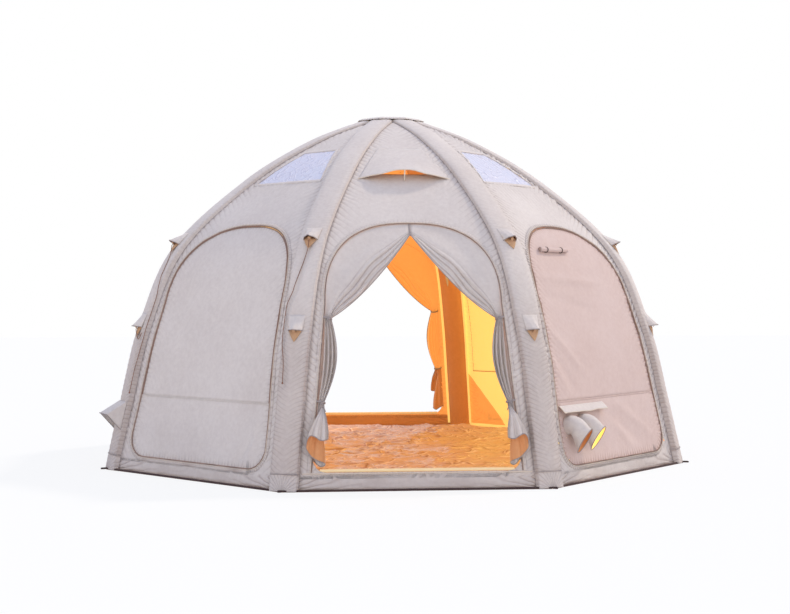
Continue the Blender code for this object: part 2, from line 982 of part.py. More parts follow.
def vent_prop(face):
    """The stick that holds a vent hood open, hinged on the wall under the hood's edge."""
    foot = wall_point(0.0, roof_bottom - prop_drop, prop_radius + seam_gap)
    rim = wall_point(0.0, roof_bottom, vent_hood_gap + vent_hood_lift)
    along = rim - foot
    length = along.length - prop_tip_gap - prop_radius * prop_tip_share
    mesh = cylinder(prop_radius, length, prop_sides)
    bmesh.ops.translate(mesh, verts=mesh.verts, vec=(0.0, 0.0, length / 2))
    tilt = Vector((0.0, 0.0, 1.0)).rotation_difference(along.normalized()).to_matrix()
    bmesh.ops.transform(mesh, matrix=tilt.to_4x4(), verts=mesh.verts)
    bmesh.ops.translate(mesh, verts=mesh.verts, vec=foot)
    prop = make_object(f"vent_prop_{face_names[face]}", mesh, webbing_material())
    return place(prop, face_turn(face), foot)


def ease(share):
    return share * share * (3 - 2 * share)


def column_share(column, width):
    """Place of a column along a row: the first lies behind the wall, the next just inside the arch."""
    if column == 0:
        return 0.0
    first = min(hem_limit_share, (curtain_overlap + hem_inside) / width)
    return first + (1 - first) * (column - 1) / (curtain_columns - 1)


def curtain_top_row(down):
    """A row of the swag between the arch's edge and the free edge, from centre to tie."""
    turn_share = min(1.0, down / swag_turn_share)
    angle = math.pi / 2 * (1 - turn_share)
    half = arch_half_width_spring + curtain_overlap
    rise = arch_top + curtain_overlap - arch_spring
    out_share, up_share = crown_shares(angle)
    fixed = Vector((half * out_share, arch_spring + rise * up_share))
    if down > swag_turn_share:
        low = (down - swag_turn_share) / (1 - swag_turn_share)
        fixed.y = arch_spring + (upper_tie_height - arch_spring) * low
        fixed.x = arch_half_width(fixed.y) + curtain_overlap
    fixed.x = max(fixed.x, centre_gap)
    curtain_meet = arch_top - curtain_meet_drop
    start = Vector((centre_gap, curtain_meet))
    tie_edge = Vector((arch_half_width(upper_tie_height) - tie_width, upper_tie_height))
    bend_height = lerp(upper_tie_height, curtain_meet, swag_sag_share)
    bend = Vector((tie_edge.x * swag_bend_share, bend_height))
    free = start.lerp(bend, down).lerp(bend.lerp(tie_edge, down), down)
    depth = pleat_depth * math.sin(math.pi * min(down, swag_pleat_share))
    row = []
    for column in range(curtain_columns + 1):
        share = column_share(column, (free - fixed).length)
        point = fixed.lerp(free, share)
        fold = 0.5 - 0.5 * math.cos(2 * math.pi * pleat_count * share**2)
        inward = canvas + curtain_wall_gap + depth * fold * min(1.0, share / flat_hem_share)
        row.append((point.x, point.y, inward))
    return row


def lerp(start, end, share):
    return start + (end - start) * share


def curtain_bundle_row(down):
    """A row of the gathered stretch between the two ties."""
    height = lerp(upper_tie_height, lower_tie_height, down)
    bulge = math.sin(math.pi * down)
    fixed = arch_half_width(height) + curtain_overlap
    free = arch_half_width(height) - lerp(tie_width, bundle_width, bulge)
    row = []
    for column in range(curtain_columns + 1):
        share = column_share(column, fixed - free)
        fold = 0.5 - 0.5 * math.cos(2 * math.pi * pleat_count * share)
        depth = bundle_depth * bulge * fold * min(1.0, share / flat_hem_share)
        inward = canvas + curtain_wall_gap + depth
        row.append((lerp(fixed, free, share), height, inward))
    return row


def curtain_tail_row(down):
    """A row of the loose end, which opens out over the sill under the lower tie."""
    spread = ease(down)
    opened = ease(min(1.0, down / tail_open_share))
    row = []
    for column in range(curtain_columns + 1):
        share = column / curtain_columns
        gathered = curtain_bundle_row(1.0)[column]
        across_share, reach_share, height_share = tail_place(share)
        height = lerp(lower_tie_height, lerp(tail_low, tail_high, height_share), down)
        half = arch_half_width(height)
        across = half + tail_width * across_share
        inward = curtain_wall_gap + canvas - tail_depth * reach_share
        start_across = half + (gathered[0] - arch_half_width(lower_tie_height))
        row.append((lerp(start_across, across, spread), height, lerp(gathered[2], inward, opened)))
    return row


def tail_place(share):
    """Where a column of the tail lies: shares of its width, reach outside and height."""
    for (first, *start), (second, *end) in zip(tail_shares, tail_shares[1:]):
        if share <= second:
            part = (share - first) / (second - first)
            return [lerp(low, high, part) for low, high in zip(start, end)]
    return tail_shares[-1][1:]


def door_curtain(face, side):
    """Half of a door, drawn to one side and held by two ties."""
    rows = [curtain_top_row(step / curtain_rows_top) for step in range(curtain_rows_top + 1)]
    rows += [curtain_bundle_row(step / curtain_rows_bundle) for step in range(1, curtain_rows_bundle + 1)]
    rows += [curtain_tail_row(step / curtain_rows_tail) for step in range(1, curtain_rows_tail + 1)]
    points = [[wall_point(side * across, up, -inward) for across, up, inward in row] for row in rows]
    mesh = bmesh.new()
    loft(mesh, points, False)
    hand = "right" if side > 0 else "left"
    curtain = make_object(f"door_curtain_{face_names[face]}_{hand}", mesh, lining_material())
    point_outward(curtain)
    thicken(curtain, curtain_thickness)
    return place(curtain, face_turn(face))


def port_flap():
    """The flap that hangs over the duct sleeves, hinged at the wall."""
    wall_edge_point = wall_point(0.0, port_flap_top, port_flap_gap)
    reach = math.hypot(port_flap_reach, port_flap_drop)
    mesh = box(
        (port_flap_right - port_flap_left, reach, canvas),
        ((port_flap_right + port_flap_left) / 2, -reach / 2, 0.0),
    )
    slope = Matrix.Rotation(math.atan2(port_flap_drop, port_flap_reach), 4, "X")
    bmesh.ops.transform(mesh, matrix=slope, verts=mesh.verts)
    bmesh.ops.translate(mesh, verts=mesh.verts, vec=wall_edge_point)
    flap = make_object("port_flap", mesh, canvas_material())
    return place(flap, face_turn(port_face), wall_edge_point)


def duct_sleeve(number):
    """A fabric tube that hangs from a port, for a cable or an air hose.

    It is round at the port and falls flat from side to side towards its mouth.
    """
    centre = port_centres[number]
    start = wall_point(centre, port_height, duct_gap)
    tangent = between(wall_tangents, position(wall_points, port_height))
    heading = math.atan2(outward(tangent).y, outward(tangent).x)
    direction = heading
    place_along = Vector((-start.y, start.z))
    path = [place_along.copy()]
    turn = (heading + duct_hang) / duct_bend_steps
    step = duct_bend_radius * 2 * math.sin(turn / 2)
    place_along += Vector((math.cos(direction), math.sin(direction))) * duct_collar
    path.append(place_along.copy())
    direction -= turn / 2
    for _ in range(duct_bend_steps):
        place_along += Vector((math.cos(direction), math.sin(direction))) * step
        direction -= turn
        path.append(place_along.copy())
    hanging = Vector((math.cos(duct_hang), -math.sin(duct_hang)))
    path.append(place_along + hanging * duct_lengths[number])
    tangents = line_tangents(path)
    sections = [(duct_radius, duct_radius)] * (len(path) - 1)
    sections.append((duct_mouth_half_height, duct_mouth_half_width))
    rings = []
    for inset in (0.0, duct_wall):
        rows = []
        for point, heading_along, (half_height, half_width) in zip(path, tangents, sections):
            normal = Vector((heading_along.y, -heading_along.x))
            ring = []
            for side in range(duct_sides):
                angle = 2 * math.pi * side / duct_sides
                offset = point + normal * ((half_height - inset) * math.cos(angle))
                across = centre + (half_width - inset) * math.sin(angle)
                ring.append(Vector((across, -offset.x, offset.y)))
            rows.append(ring)
        rings.append(rows)
    mesh = bmesh.new()
    outer_grid = loft(mesh, rings[0], True)
    inner_grid = loft(mesh, rings[1], True)
    for outside, inside in ((outer_grid[0], inner_grid[0]), (outer_grid[-1], inner_grid[-1])):
        for index in range(duct_sides):
            following = (index + 1) % duct_sides
            mesh.faces.new(
                (outside[index], outside[following], inside[following], inside[index])
            )
    duct = make_object(f"duct_sleeve_{number + 1}", mesh, canvas_material())
    hinge = wall_point(centre, port_height + duct_radius, duct_gap)
    return place(duct, face_turn(port_face), hinge)


def window_roll():
    """A small cover rolled up near the top of the port face's window."""
    mesh = cylinder(roll_radius, roll_length, roll_sides)
    bmesh.ops.rotate(
        mesh, verts=mesh.verts, cent=(0.0, 0.0, 0.0), matrix=Matrix.Rotation(math.pi / 2, 3, "Y")
    )
    across = arch_half_width_spring * roll_centre_share
    centre = wall_point(across, arch_top - roll_drop, roll_radius + roll_gap)
    bmesh.ops.translate(mesh, verts=mesh.verts, vec=centre)
    roll = make_object("window_roll", mesh, canvas_material())
    hinge = wall_point(0.0, fold_seam_height, 0.0)
    return place(roll, face_turn(port_face), hinge)


def valve_frame():
    """Where the valve stands: its place on the crest and the way it faces."""
    along = position(crest_points, valve_height)
    crest = between(crest_points, along)
    normal = outward(between(crest_tangents, along)).normalized()
    axis = Vector((0.0, -normal.x, normal.y))
    turn = Vector((0.0, 0.0, 1.0)).rotation_difference(axis).to_matrix().to_4x4()
    return Matrix.Translation(Vector((0.0, -crest.x, crest.y))) @ turn


def valve_disc(radius, low, high):
    mesh = cylinder(radius, high - low, valve_sides)
    bmesh.ops.translate(mesh, verts=mesh.verts, vec=(0.0, 0.0, (low + high) / 2))
    return mesh


def valve_body():
    """The valve's barrel and flange, through the sleeve to the bladder."""
    frame = valve_frame()
    turn = beam_turn(valve_beam)
    low = -(beam_axis_depth - beam_radius) + seam_gap
    shaft = valve_disc(valve_radius, low, valve_stand)
    barrel = make_object("valve_body", shaft, plastic_material())
    flange_low = clearance
    flange_high = clearance + valve_flange_thickness
    flange = make_cutter("valve_flange", valve_disc(valve_flange_radius, flange_low, flange_high))
    drill = valve_disc(valve_bore_radius, valve_stand - valve_bore_depth, valve_stand + overrun)
    bore = make_cutter("valve_bore", drill)
    lug_size = (cap_ear_width, cap_ear_length, valve_stand - flange_low)
    lug_across = valve_radius + cap_ear_length / 2 - valve_lug_sink
    lug_centre = (0.0, lug_across, (valve_stand + flange_low) / 2)
    lug = make_cutter("valve_lug", box(lug_size, lug_centre))
    hole = make_cutter(
        "sleeve_valve_hole", valve_disc(valve_radius + clearance, -sleeve_depth / 2, overrun)
    )
    for item in (barrel, flange, bore, lug, hole):
        item.data.transform(frame)
        place(item, turn)
    cut(barrel, flange, "UNION")
    cut(barrel, lug, "UNION")
    cut(barrel, bore)
    cut(bpy.data.objects[f"beam_sleeve_{beam_names[valve_beam]}"], hole)
    return barrel


def valve_cap():
    """The valve's cap, hinged on the lug beside the barrel."""
    frame = valve_frame()
    turn = beam_turn(valve_beam)
    low = valve_stand + cap_gap
    high = low + cap_thickness
    lid = make_object("valve_cap", valve_disc(cap_radius, low, high), plastic_material())
    ear_size = (cap_ear_width, cap_ear_length, cap_thickness)
    ear_across = cap_radius + cap_ear_length / 2 - valve_lug_sink
    ear = make_cutter("valve_cap_ear", box(ear_size, (0.0, ear_across, (low + high) / 2)))
    hinge = frame @ Vector((0.0, cap_radius + cap_ear_length - valve_lug_sink, low))
    for item in (lid, ear):
        item.data.transform(frame)
        place(item, turn, hinge)
    cut(lid, ear, "UNION")
    return lid


def lamp_hook():
    """A plate under the hub with a ring to hang a lamp from."""
    top = crest_points[-1].y - beam_axis_depth - hub_height / 2 - hook_gap
    plate = valve_disc(hook_plate_radius, top - hook_plate_thickness, top)
    hook = make_object("lamp_hook", plate, steel_material())
    ring = bmesh.new()
    rows = []
    for step in range(hook_ring_steps):
        angle = 2 * math.pi * step / hook_ring_steps
        row = []
        for side in range(hook_wire_sides):
            around = 2 * math.pi * side / hook_wire_sides
            reach = hook_ring_radius + hook_wire_radius * math.cos(around)
            lateral = hook_wire_radius * math.sin(around)
            row.append(Vector((reach * math.cos(angle), lateral, reach * math.sin(angle))))
        rows.append(row)
    loft(ring, rows + rows[:1], True)
    bmesh.ops.remove_doubles(ring, verts=ring.verts, dist=weld_distance)
    centre = top - hook_plate_thickness - hook_ring_radius
    bmesh.ops.translate(ring, verts=ring.verts, vec=(0.0, 0.0, centre))
    cut(hook, make_cutter("lamp_hook_ring", ring), "UNION")
    return hook


def smooth_path(points, spacing):
    """Points along a smooth curve through the given ones, about one spacing apart."""
    path = []
    knots = [Vector(point) for point in points]
    for index in range(len(knots) - 1):
        four = [knots[min(max(index + shift, 0), len(knots) - 1)] for shift in (-1, 0, 1, 2)]
        steps = max(1, round((knots[index + 1] - knots[index]).length / spacing))
        for step in range(steps):
            along = step / steps
            values = [curve_value(*(knot[axis] for knot in four), along) for axis in range(3)]
            path.append(Vector(values))
    path.append(knots[-1])
    return path


def guy_cord(name, points):
    """A free guy line, as a tube along its route."""
    curve = bpy.data.curves.new(name, "CURVE")
    curve.dimensions = "3D"
    curve.bevel_depth = cord_diameter / 2
    curve.bevel_resolution = 2
    curve.use_fill_caps = True
    path = smooth_path(points, cord_step)
    spline = curve.splines.new("POLY")
    spline.points.add(len(path) - 1)
    for target, point in zip(spline.points, path):
        target.co = (*point, 1.0)
    item = bpy.data.objects.new(name, curve)
    tent.objects.link(item)
    curve.materials.append(cord_material())
    curve.render_resolution_u = 0
    return item


crest_points = crest_line()
crest_tangents = line_tangents(crest_points)
wall_points = wall_line()
wall_tangents = line_tangents(wall_points)
arch_half_width_bottom = wall_half_width(arch_bottom) - arch_margin_bottom
arch_half_width_spring = wall_half_width(arch_spring) - arch_margin_spring

clear_scene()
tent = make_collection("inflatable_tent")
cutters = make_collection("cutters")

ground_sheet()
for beam in range(side_count):
    air_beam(beam)
    beam_sleeve(beam)
crown_hub()
crown_cover()
lamp_hook()
for face in range(side_count):
    wall(face)
    if face not in door_faces:
        window_flap(face)
    if face in skylight_faces:
        skylight(face)
for face in door_faces:
    vent_name = f"vent_hood_{face_names[face]}"
    bulged_hood(
        vent_name,
        face,
        roof_bottom,
        roof_top,
        roof_half_width_bottom,
        roof_half_width_top,
        vent_hood_lift,
        vent_hood_columns,
    )
    vent_prop(face)
    for side in (-1, 1):
        door_curtain(face, side)
low_vent_hood()
port_flap()
for number in range(len(port_centres)):
    duct_sleeve(number)
window_roll()
valve_body()
valve_cap()
guy_cord("guy_cord_front_left", cord_front_left)
guy_cord("guy_cord_left_front", cord_left_front)
guy_cord("guy_cord_left_loop", cord_left_loop)
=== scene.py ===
"""Looks of the eight-sided inflatable dome tent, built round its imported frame.

Metres, +Z up, the front door faces -Y. Each face and each beam is shaped as if it stood at the
front and is then turned about Z, as in the solid model.
"""
import math
from functools import partial

import bmesh
import bpy
from mathutils import Matrix, Vector, kdtree, noise


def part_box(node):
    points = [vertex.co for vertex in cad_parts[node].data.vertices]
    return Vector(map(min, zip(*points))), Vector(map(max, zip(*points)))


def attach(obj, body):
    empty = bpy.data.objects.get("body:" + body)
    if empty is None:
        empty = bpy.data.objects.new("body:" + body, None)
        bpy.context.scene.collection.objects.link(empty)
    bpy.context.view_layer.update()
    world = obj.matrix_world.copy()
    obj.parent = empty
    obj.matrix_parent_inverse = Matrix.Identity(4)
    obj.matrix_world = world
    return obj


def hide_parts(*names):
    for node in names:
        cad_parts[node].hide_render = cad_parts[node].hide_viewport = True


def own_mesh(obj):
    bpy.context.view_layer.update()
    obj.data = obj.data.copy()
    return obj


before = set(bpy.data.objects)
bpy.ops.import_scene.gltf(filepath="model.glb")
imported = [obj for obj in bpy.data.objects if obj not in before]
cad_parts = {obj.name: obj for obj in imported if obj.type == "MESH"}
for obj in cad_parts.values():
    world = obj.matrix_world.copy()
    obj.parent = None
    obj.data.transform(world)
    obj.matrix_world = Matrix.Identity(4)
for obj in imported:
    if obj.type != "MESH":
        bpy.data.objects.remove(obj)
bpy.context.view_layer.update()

bl_info = {
    "name": "Inflatable tent",
    "version": (1, 0, 0),
    "blender": (4, 5, 0),
    "location": "3D View > Sidebar > Tent",
    "description": "Dresses the inflatable tent's frame in canvas, lining, windows and cords",
    "category": "Object",
}

# Whole tent, as in the solid model
corner_radius = 2.35
crest_height = 2.695
side_count = 8
crown_apothem = 0.235
rib_shares = (
    (1.0, 0.0),
    (0.949, 0.174),
    (0.880, 0.388),
    (0.753, 0.610),
    (0.471, 0.811),
    (0.214, 0.933),
    (0.0, 1.0),
)
rib_steps = 96
half_angle = math.pi / side_count
full_angle = 2 * math.pi / side_count
floor_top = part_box("ground_sheet")[1][2]
sleeve_half_width = 0.095
sleeve_depth = 0.155
sleeve_section_shares = (
    (0.0, 0.0),
    (0.55, -0.02),
    (0.92, -0.09),
    (1.0, -0.17),
    (1.0, -0.52),
    (0.72, -0.86),
    (0.0, -1.0),
)
lining_from_share = 0.45
crest_above_wall = 0.02
wall_tip_half_width = 0.006
canvas = 0.002
gap = 0.0006
# How far the ground sheet reaches past the tent's corners
floor_overhang = 0.004

# Arches and roof openings
arch_bottom = 0.12
arch_spring = 1.22
arch_top = 0.6605 * crest_height
arch_power = 2.5
arch_half_width_bottom = 0.70
arch_half_width_spring = 0.60
arch_corner_radius = 0.10
zip_corner_radius = 0.16
arch_crown_steps = 36
fold_seam_height = 0.55
skirt_top = 0.115
roof_bottom = 0.7866 * crest_height
roof_top = 0.885 * crest_height
roof_half_width_bottom = 0.335
roof_half_width_top = 0.165
vent_margin = 0.045
vent_hood_lift = 0.085
vent_hood_gap = 0.0009

# Guy line hoods
hood_heights = (0.3881 * crest_height, 0.6178 * crest_height)
hood_rise = 0.062
hood_length = 0.11

face_names = (
    "front",
    "front_right",
    "right",
    "back_right",
    "back",
    "back_left",
    "left",
    "front_left",
)
beam_names = (
    "front_right",
    "right_front",
    "right_back",
    "back_right",
    "back_left",
    "left_back",
    "left_front",
    "front_left",
)
door_faces = (0, 4)
skylight_faces = (1, 3, 5, 7)
port_face = 1
# The faces in the sun, which get the canvas with painted sunlight and stronger wrinkles
sunny_faces = (1, 2)

# Camera, fitted to the photograph
camera_place = (-0.944, -10.899, 1.287)
camera_tilt = -0.0094
camera_yaw = -0.0901
camera_lens = 61.1
camera_sensor = 36.0

# Studio: white paper and a sky that is warmer low down
white = (1.0, 1.0, 1.0, 1.0)
paper_size = 60.0
paper_drop = 0.001
paper_grey = 0.82
glow_share = 0.85
sky_strength = 1.02


def linear(code):
    """An sRGB hex colour as linear values."""
    values = [int(code[index:index + 2], 16) / 255 for index in (0, 2, 4)]
    return [v / 12.92 if v <= 0.04045 else ((v + 0.055) / 1.055) ** 2.4 for v in values] + [1.0]


class TentSizes(bpy.types.PropertyGroup):
    """Sizes that change how the tent is dressed."""

    wrinkle: bpy.props.FloatProperty(
        name="Wrinkle height", description="How far the canvas's puckers stand up",
        default=0.0032, min=0.0, unit="LENGTH",
    )
    seam_radius: bpy.props.FloatProperty(
        name="Seam radius", description="Radius of the rolled seams along the sleeves",
        default=0.0035, min=0.001, unit="LENGTH",
    )
    zip_radius: bpy.props.FloatProperty(
        name="Zip radius", description="Radius of the zips round the arches",
        default=0.0045, min=0.001, unit="LENGTH",
    )
    fold_depth: bpy.props.FloatProperty(
        name="Curtain fold depth", description="Depth of the folds in the door curtains",
        default=0.03, min=0.0, unit="LENGTH",
    )


class TentColours(bpy.types.PropertyGroup):
    """Colours of the tent's cloths."""

    canvas: bpy.props.FloatVectorProperty(
        name="Canvas", description="Outer side of the canvas", subtype="COLOR", size=4,
        default=linear("DED4C8"), min=0.0, max=1.0,
    )
    lining: bpy.props.FloatVectorProperty(
        name="Lining", description="Inner side of the walls and curtains", subtype="COLOR", size=4,
        default=linear("E8A868"), min=0.0, max=1.0,
    )
    window: bpy.props.FloatVectorProperty(
        name="Window lining", description="Inner side of the window panels", subtype="COLOR", size=4,
        default=linear("F4DA84"), min=0.0, max=1.0,
    )
    floor: bpy.props.FloatVectorProperty(
        name="Floor", description="Inner side of the ground sheet", subtype="COLOR", size=4,
        default=linear("DFC2B2"), min=0.0, max=1.0,
    )
    trim: bpy.props.FloatVectorProperty(
        name="Trim", description="Zips and cords", subtype="COLOR", size=4,
        default=linear("A58470"), min=0.0, max=1.0,
    )


# Shapes of the tent


def curve_value(before, start, end, after, share):
    """A smooth curve's value between two of its points."""
    return 0.5 * (
        2 * start
        + (end - before) * share
        + (2 * before - 5 * start + 4 * end - after) * share**2
        + (3 * start - before - 3 * end + after) * share**3
    )


def lerp(start, end, share):
    """A value that lies a share of the way from start to end."""
    return start + (end - start) * share


def ease(share):
    """A share held between 0 and 1 that starts and ends gently."""
    share = min(1.0, max(0.0, share))
    return share * share * (3 - 2 * share)


def shares(steps):
    """Even shares from 0 to 1."""
    return [step / steps for step in range(steps + 1)]


def ripple(count):
    """A sine wave, read by how many waves lie before a place."""
    return math.sin(2 * math.pi * count)


def folds(count):
    """Round folds, read by how many lie before a place: 0 between them and 1 on their crests."""
    return 0.5 - 0.5 * math.cos(2 * math.pi * count)


def uneven(x, y, seed):
    """A smooth random value between about -1 and 1."""
    return noise.noise(Vector((x, y, seed)))


def crest_line():
    """Points of a beam's crest as radius and height, from the foot up to the crown."""
    spans = len(rib_shares) - 1
    points = []
    for step in range(rib_steps + 1):
        along = step * spans / rib_steps
        index = min(int(along), spans - 1)
        knots = [rib_shares[min(max(index + shift, 0), spans)] for shift in (-1, 0, 1, 2)]
        out = curve_value(*(knot[0] for knot in knots), along - index)
        up = curve_value(*(knot[1] for knot in knots), along - index)
        radius = crown_apothem + out * (corner_radius - crown_apothem)
        points.append(Vector((radius, up * crest_height)))
    return points


def outward(tangent):
    """The direction out of the tent from a line that runs up it."""
    return Vector((tangent.y, -tangent.x))


class Line:
    """A line in radius and height that can be read by length along it or by height."""

    def __init__(self, points):
        self.points = points
        self.runs = [0.0]
        for before, after in zip(points, points[1:]):
            self.runs.append(self.runs[-1] + (after - before).length)
        self.length = self.runs[-1]
        self.tangents = []
        for index in range(len(points)):
            before = points[max(index - 1, 0)]
            after = points[min(index + 1, len(points) - 1)]
            self.tangents.append((after - before).normalized())

    def find(self, values, value):
        """The step of rising values in which a value lies, and its share of that step."""
        low, high = 0, len(values) - 1
        while high - low > 1:
            middle = (low + high) // 2
            if values[middle] <= value:
                low = middle
            else:
                high = middle
        return low, (value - values[low]) / (values[high] - values[low])

    def at(self, run):
        """The place and the outward direction at a length along the line."""
        low, share = self.find(self.runs, run)
        point = self.points[low].lerp(self.points[low + 1], share)
        held = min(max(share, 0.0), 1.0)
        tangent = self.tangents[low].lerp(self.tangents[low + 1], held)
        return point, outward(tangent).normalized()

    def run_at(self, height):
        """The length along the line at a height."""
        low, share = self.find([point.y for point in self.points], height)
        return lerp(self.runs[low], self.runs[low + 1], share)


def wall_line(crest):
    """A wall's middle line as apothem and height, from the floor to its tip."""
    points = []
    for point, tangent in zip(crest.points, crest.tangents):
        inner = point - outward(tangent) * crest_above_wall
        points.append(Vector((inner.x * math.cos(half_angle), inner.y)))
    low = points[0] + (points[0] - points[1])
    share = (floor_top + gap - low.y) / (points[1].y - low.y)
    points[0] = low.lerp(points[1], share)
    tip = sleeve_half_width / math.sin(half_angle) + wall_tip_half_width / math.tan(half_angle)
    while points[-2].x < tip:
        points.pop()
    share = (points[-2].x - tip) / (points[-2].x - points[-1].x)
    points[-1] = points[-2].lerp(points[-1], share)
    return points


crest = Line(crest_line())
wall_middle = Line(wall_line(crest))


def wall_edge(apothem):
    """Half a wall's width at an apothem, up to the sleeves beside it."""
    return apothem * math.tan(half_angle) - (sleeve_half_width + canvas / 2) / math.cos(half_angle)


def wall_at(across, run, lift):
    """A point over a wall's outer side, in the face's own frame."""
    middle, normal = wall_middle.at(run)
    middle = middle + normal * lift
    return Vector((across, -middle.x, middle.y))


def wall_point(across, height, lift):
    """A point over a wall's outer side, read by height."""
    return wall_at(across, wall_middle.run_at(height), lift)


def sleeve_half(across):
    """Depth below the crest of the sleeve's outer strip."""
    beside = min(abs(across) / sleeve_half_width, 1.0)
    for (inner, high), (outer, low) in zip(sleeve_section_shares, sleeve_section_shares[1:4]):
        if beside <= outer:
            return lerp(high, low, (beside - inner) / (outer - inner)) * sleeve_depth
    return sleeve_section_shares[3][1] * sleeve_depth


def sleeve_at(across, run, lift):
    """A point over a sleeve's outer strip, in the beam's own frame."""
    middle, normal = crest.at(run)
    middle = middle + normal * (sleeve_half(across) + lift)
    return Vector((across, -middle.x, middle.y))


def sleeve_point(across, height, lift):
    """A point over a sleeve's outer strip, read by height."""
    return sleeve_at(across, crest.run_at(height), lift)


def face_turn(face):
    """The turn from the front to a face; half a face more leads to the beam beside it."""
    return Matrix.Rotation(face * full_angle, 4, "Z")


def beam_turn(beam):
    """The turn from the front to a beam."""
    return Matrix.Rotation((beam + 0.5) * full_angle, 4, "Z")


def arch_half_width(height, inset=0.0):
    """Half the width of the door or window arch at a height."""
    if height <= arch_spring:
        share = (height - arch_bottom) / (arch_spring - arch_bottom)
        return lerp(arch_half_width_bottom, arch_half_width_spring, share) - inset
    rise = (height - arch_spring) / (arch_top - inset - arch_spring)
    return (arch_half_width_spring - inset) * max(0.0, 1.0 - rise**arch_power) ** (1 / arch_power)


def crown_shares(angle):
    """A place on the arch's crown, which is a little squarer than an ellipse."""
    return math.cos(angle) ** (2 / arch_power), math.sin(angle) ** (2 / arch_power)


def arch_outline(bottom, inset, corner):
    """The arch in width and height, from its right foot over the top to its left foot."""
    right = []
    if corner > 0:
        for share in shares(6):
            angle = math.pi / 2 * share
            up = bottom + inset + corner * (1 - math.cos(angle))
            edge = arch_half_width(up, inset)
            right.append((edge - corner * (1 - math.sin(angle)), up))
    else:
        right.append((arch_half_width(bottom + inset, inset), bottom + inset))
    straight = 8
    start = right[-1][1]
    for step in range(1, straight):
        up = lerp(start, arch_spring, step / straight)
        right.append((arch_half_width(up, inset), up))
    for step in range(arch_crown_steps // 2):
        angle = math.pi * step / arch_crown_steps
        out_share, up_share = crown_shares(angle)
        up = arch_spring + (arch_top - inset - arch_spring) * up_share
        right.append(((arch_half_width_spring - inset) * out_share, up))
    left = [(-across, up) for across, up in reversed(right)]
    return right + [(0.0, arch_top - inset)] + left


def roof_outline(inset):
    """The opening for a roof window or vent in width and height."""
    return [
        (roof_half_width_bottom - inset, roof_bottom + inset),
        (roof_half_width_top - inset, roof_top - inset),
        (-roof_half_width_top + inset, roof_top - inset),
        (-roof_half_width_bottom + inset, roof_bottom + inset),
    ]


def on_cloth(outline):
    """An outline in width and height as width and length along the wall."""
    return [Vector((across, wall_middle.run_at(up), 0.0)) for across, up in outline]


# Wrinkles: each gives how far the cloth stands out at a place on it

billow_height = 0.006
crease_height = 0.0022
pucker_reach = 0.13
pucker_spacing = 0.052
pucker_slant = 0.75
skirt_fold_height = 0.003
skirt_fold_spacing = 0.16
roof_pucker_height = 0.0035
roof_pucker_spacing = 0.045
roof_pucker_start = 1.85
deepest_hollow = 0.006
# A vent's prop comes to lie within this width, down to this far below the vent
prop_half_width = 0.09
prop_reach = 0.42
# Distance between the marks along an arch, and between the gathers that they count
mark_spacing = 0.012
ring_gather_spacing = 0.031
seam_gather_spacing = 0.046
seam_gather_reach = 0.07


def soft_billow(across, run, seed, height):
    """Wide, shallow waves of slack cloth."""
    return height * uneven(across * 1.4, run * 1.1, seed)


def creases(across, run, seed, height):
    """Sharp random creases, as in cloth that was folded."""
    ridge = 1 - abs(uneven(across * 7.0, run * 4.0, seed + 9.0))
    finer = 1 - abs(uneven(across * 15.0, run * 11.0, seed + 4.0))
    return height * (0.7 * ridge**5 + 0.4 * finer**6)


def edge_puckers(across, run, edge, seed, height):
    """Slanting gathers along a sewn edge, fading away from it."""
    off = edge - abs(across)
    count = (run + pucker_slant * off) / pucker_spacing + 0.9 * uneven(across * 3, run * 5, seed)
    return height * math.exp(-off / pucker_reach) * ripple(count)


def arch_tree(corner):
    """The arch's outline as closely spaced points that can be searched by place."""
    outline = on_cloth(arch_outline(arch_bottom, 0.0, corner))
    marks = []
    for before, after in zip(outline, outline[1:] + outline[:1]):
        steps = max(1, round((after - before).length / mark_spacing))
        marks += [before.lerp(after, step / steps) for step in range(steps)]
    tree = kdtree.KDTree(len(marks))
    for index, mark in enumerate(marks):
        tree.insert(mark, index)
    tree.balance()
    return tree


def corner_fan(off, height):
    """Count of the creases that spread from a corner of the tent over its skirt."""
    angle = math.atan2(height + 0.02, off + 0.004)
    return 5.5 * angle + 0.8 * uneven(off * 6, height * 9, 2.0)


def wall_gathers(face, tree):
    """Puckers along a wall's side seams and round its arch, and its darker skirt."""
    strong = 1.45 if face in sunny_faces else 0.75

    def gathers(across, run):
        middle, _ = wall_middle.at(run)
        off = max(0.0, wall_edge(middle.x) - abs(across))
        waver = uneven(across * 3, run * 5, face * 3.7)
        skirt = ease((arch_bottom - 0.01 - middle.y) / 0.03)
        _, index, distance = tree.find((across, run, 0.0))
        count = (run + pucker_slant * off) / seam_gather_spacing + 1.1 * waver
        strength = strong * math.exp(-off / seam_gather_reach) * (1 - skirt)
        # Painted shade close to the sleeves and beside the arch; the skirt is darker too
        shade = 0.08 * skirt + 0.14 * math.exp(-off / 0.014)
        shade += 0.10 * math.exp(-((distance / 0.024) ** 2)) * (1 - skirt)
        if skirt > 0.5:
            fan = corner_fan(off + sleeve_half_width, middle.y)
            return (count, strength, shade), (fan, 1.1 * skirt * math.exp(-off / 0.35), 0.0)
        ring = strong * 0.8 * math.exp(-((distance / 0.035) ** 2)) * (1 - 2 * skirt)
        return (count, strength, shade), (index * mark_spacing / ring_gather_spacing + waver, ring, 0.0)

    return gathers


def fold_line(across, run, start, end, width, height):
    """One fold between two places on the cloth."""
    along = Vector(end) - Vector(start)
    offset = Vector((across, run)) - Vector(start)
    share = min(1.0, max(0.0, offset.dot(along) / along.length_squared))
    distance = (offset - along * share).length
    fade = math.sin(math.pi * min(1.0, max(0.0, 0.08 + 0.84 * share)))
    return height * fade * math.exp(-((distance / width) ** 2))


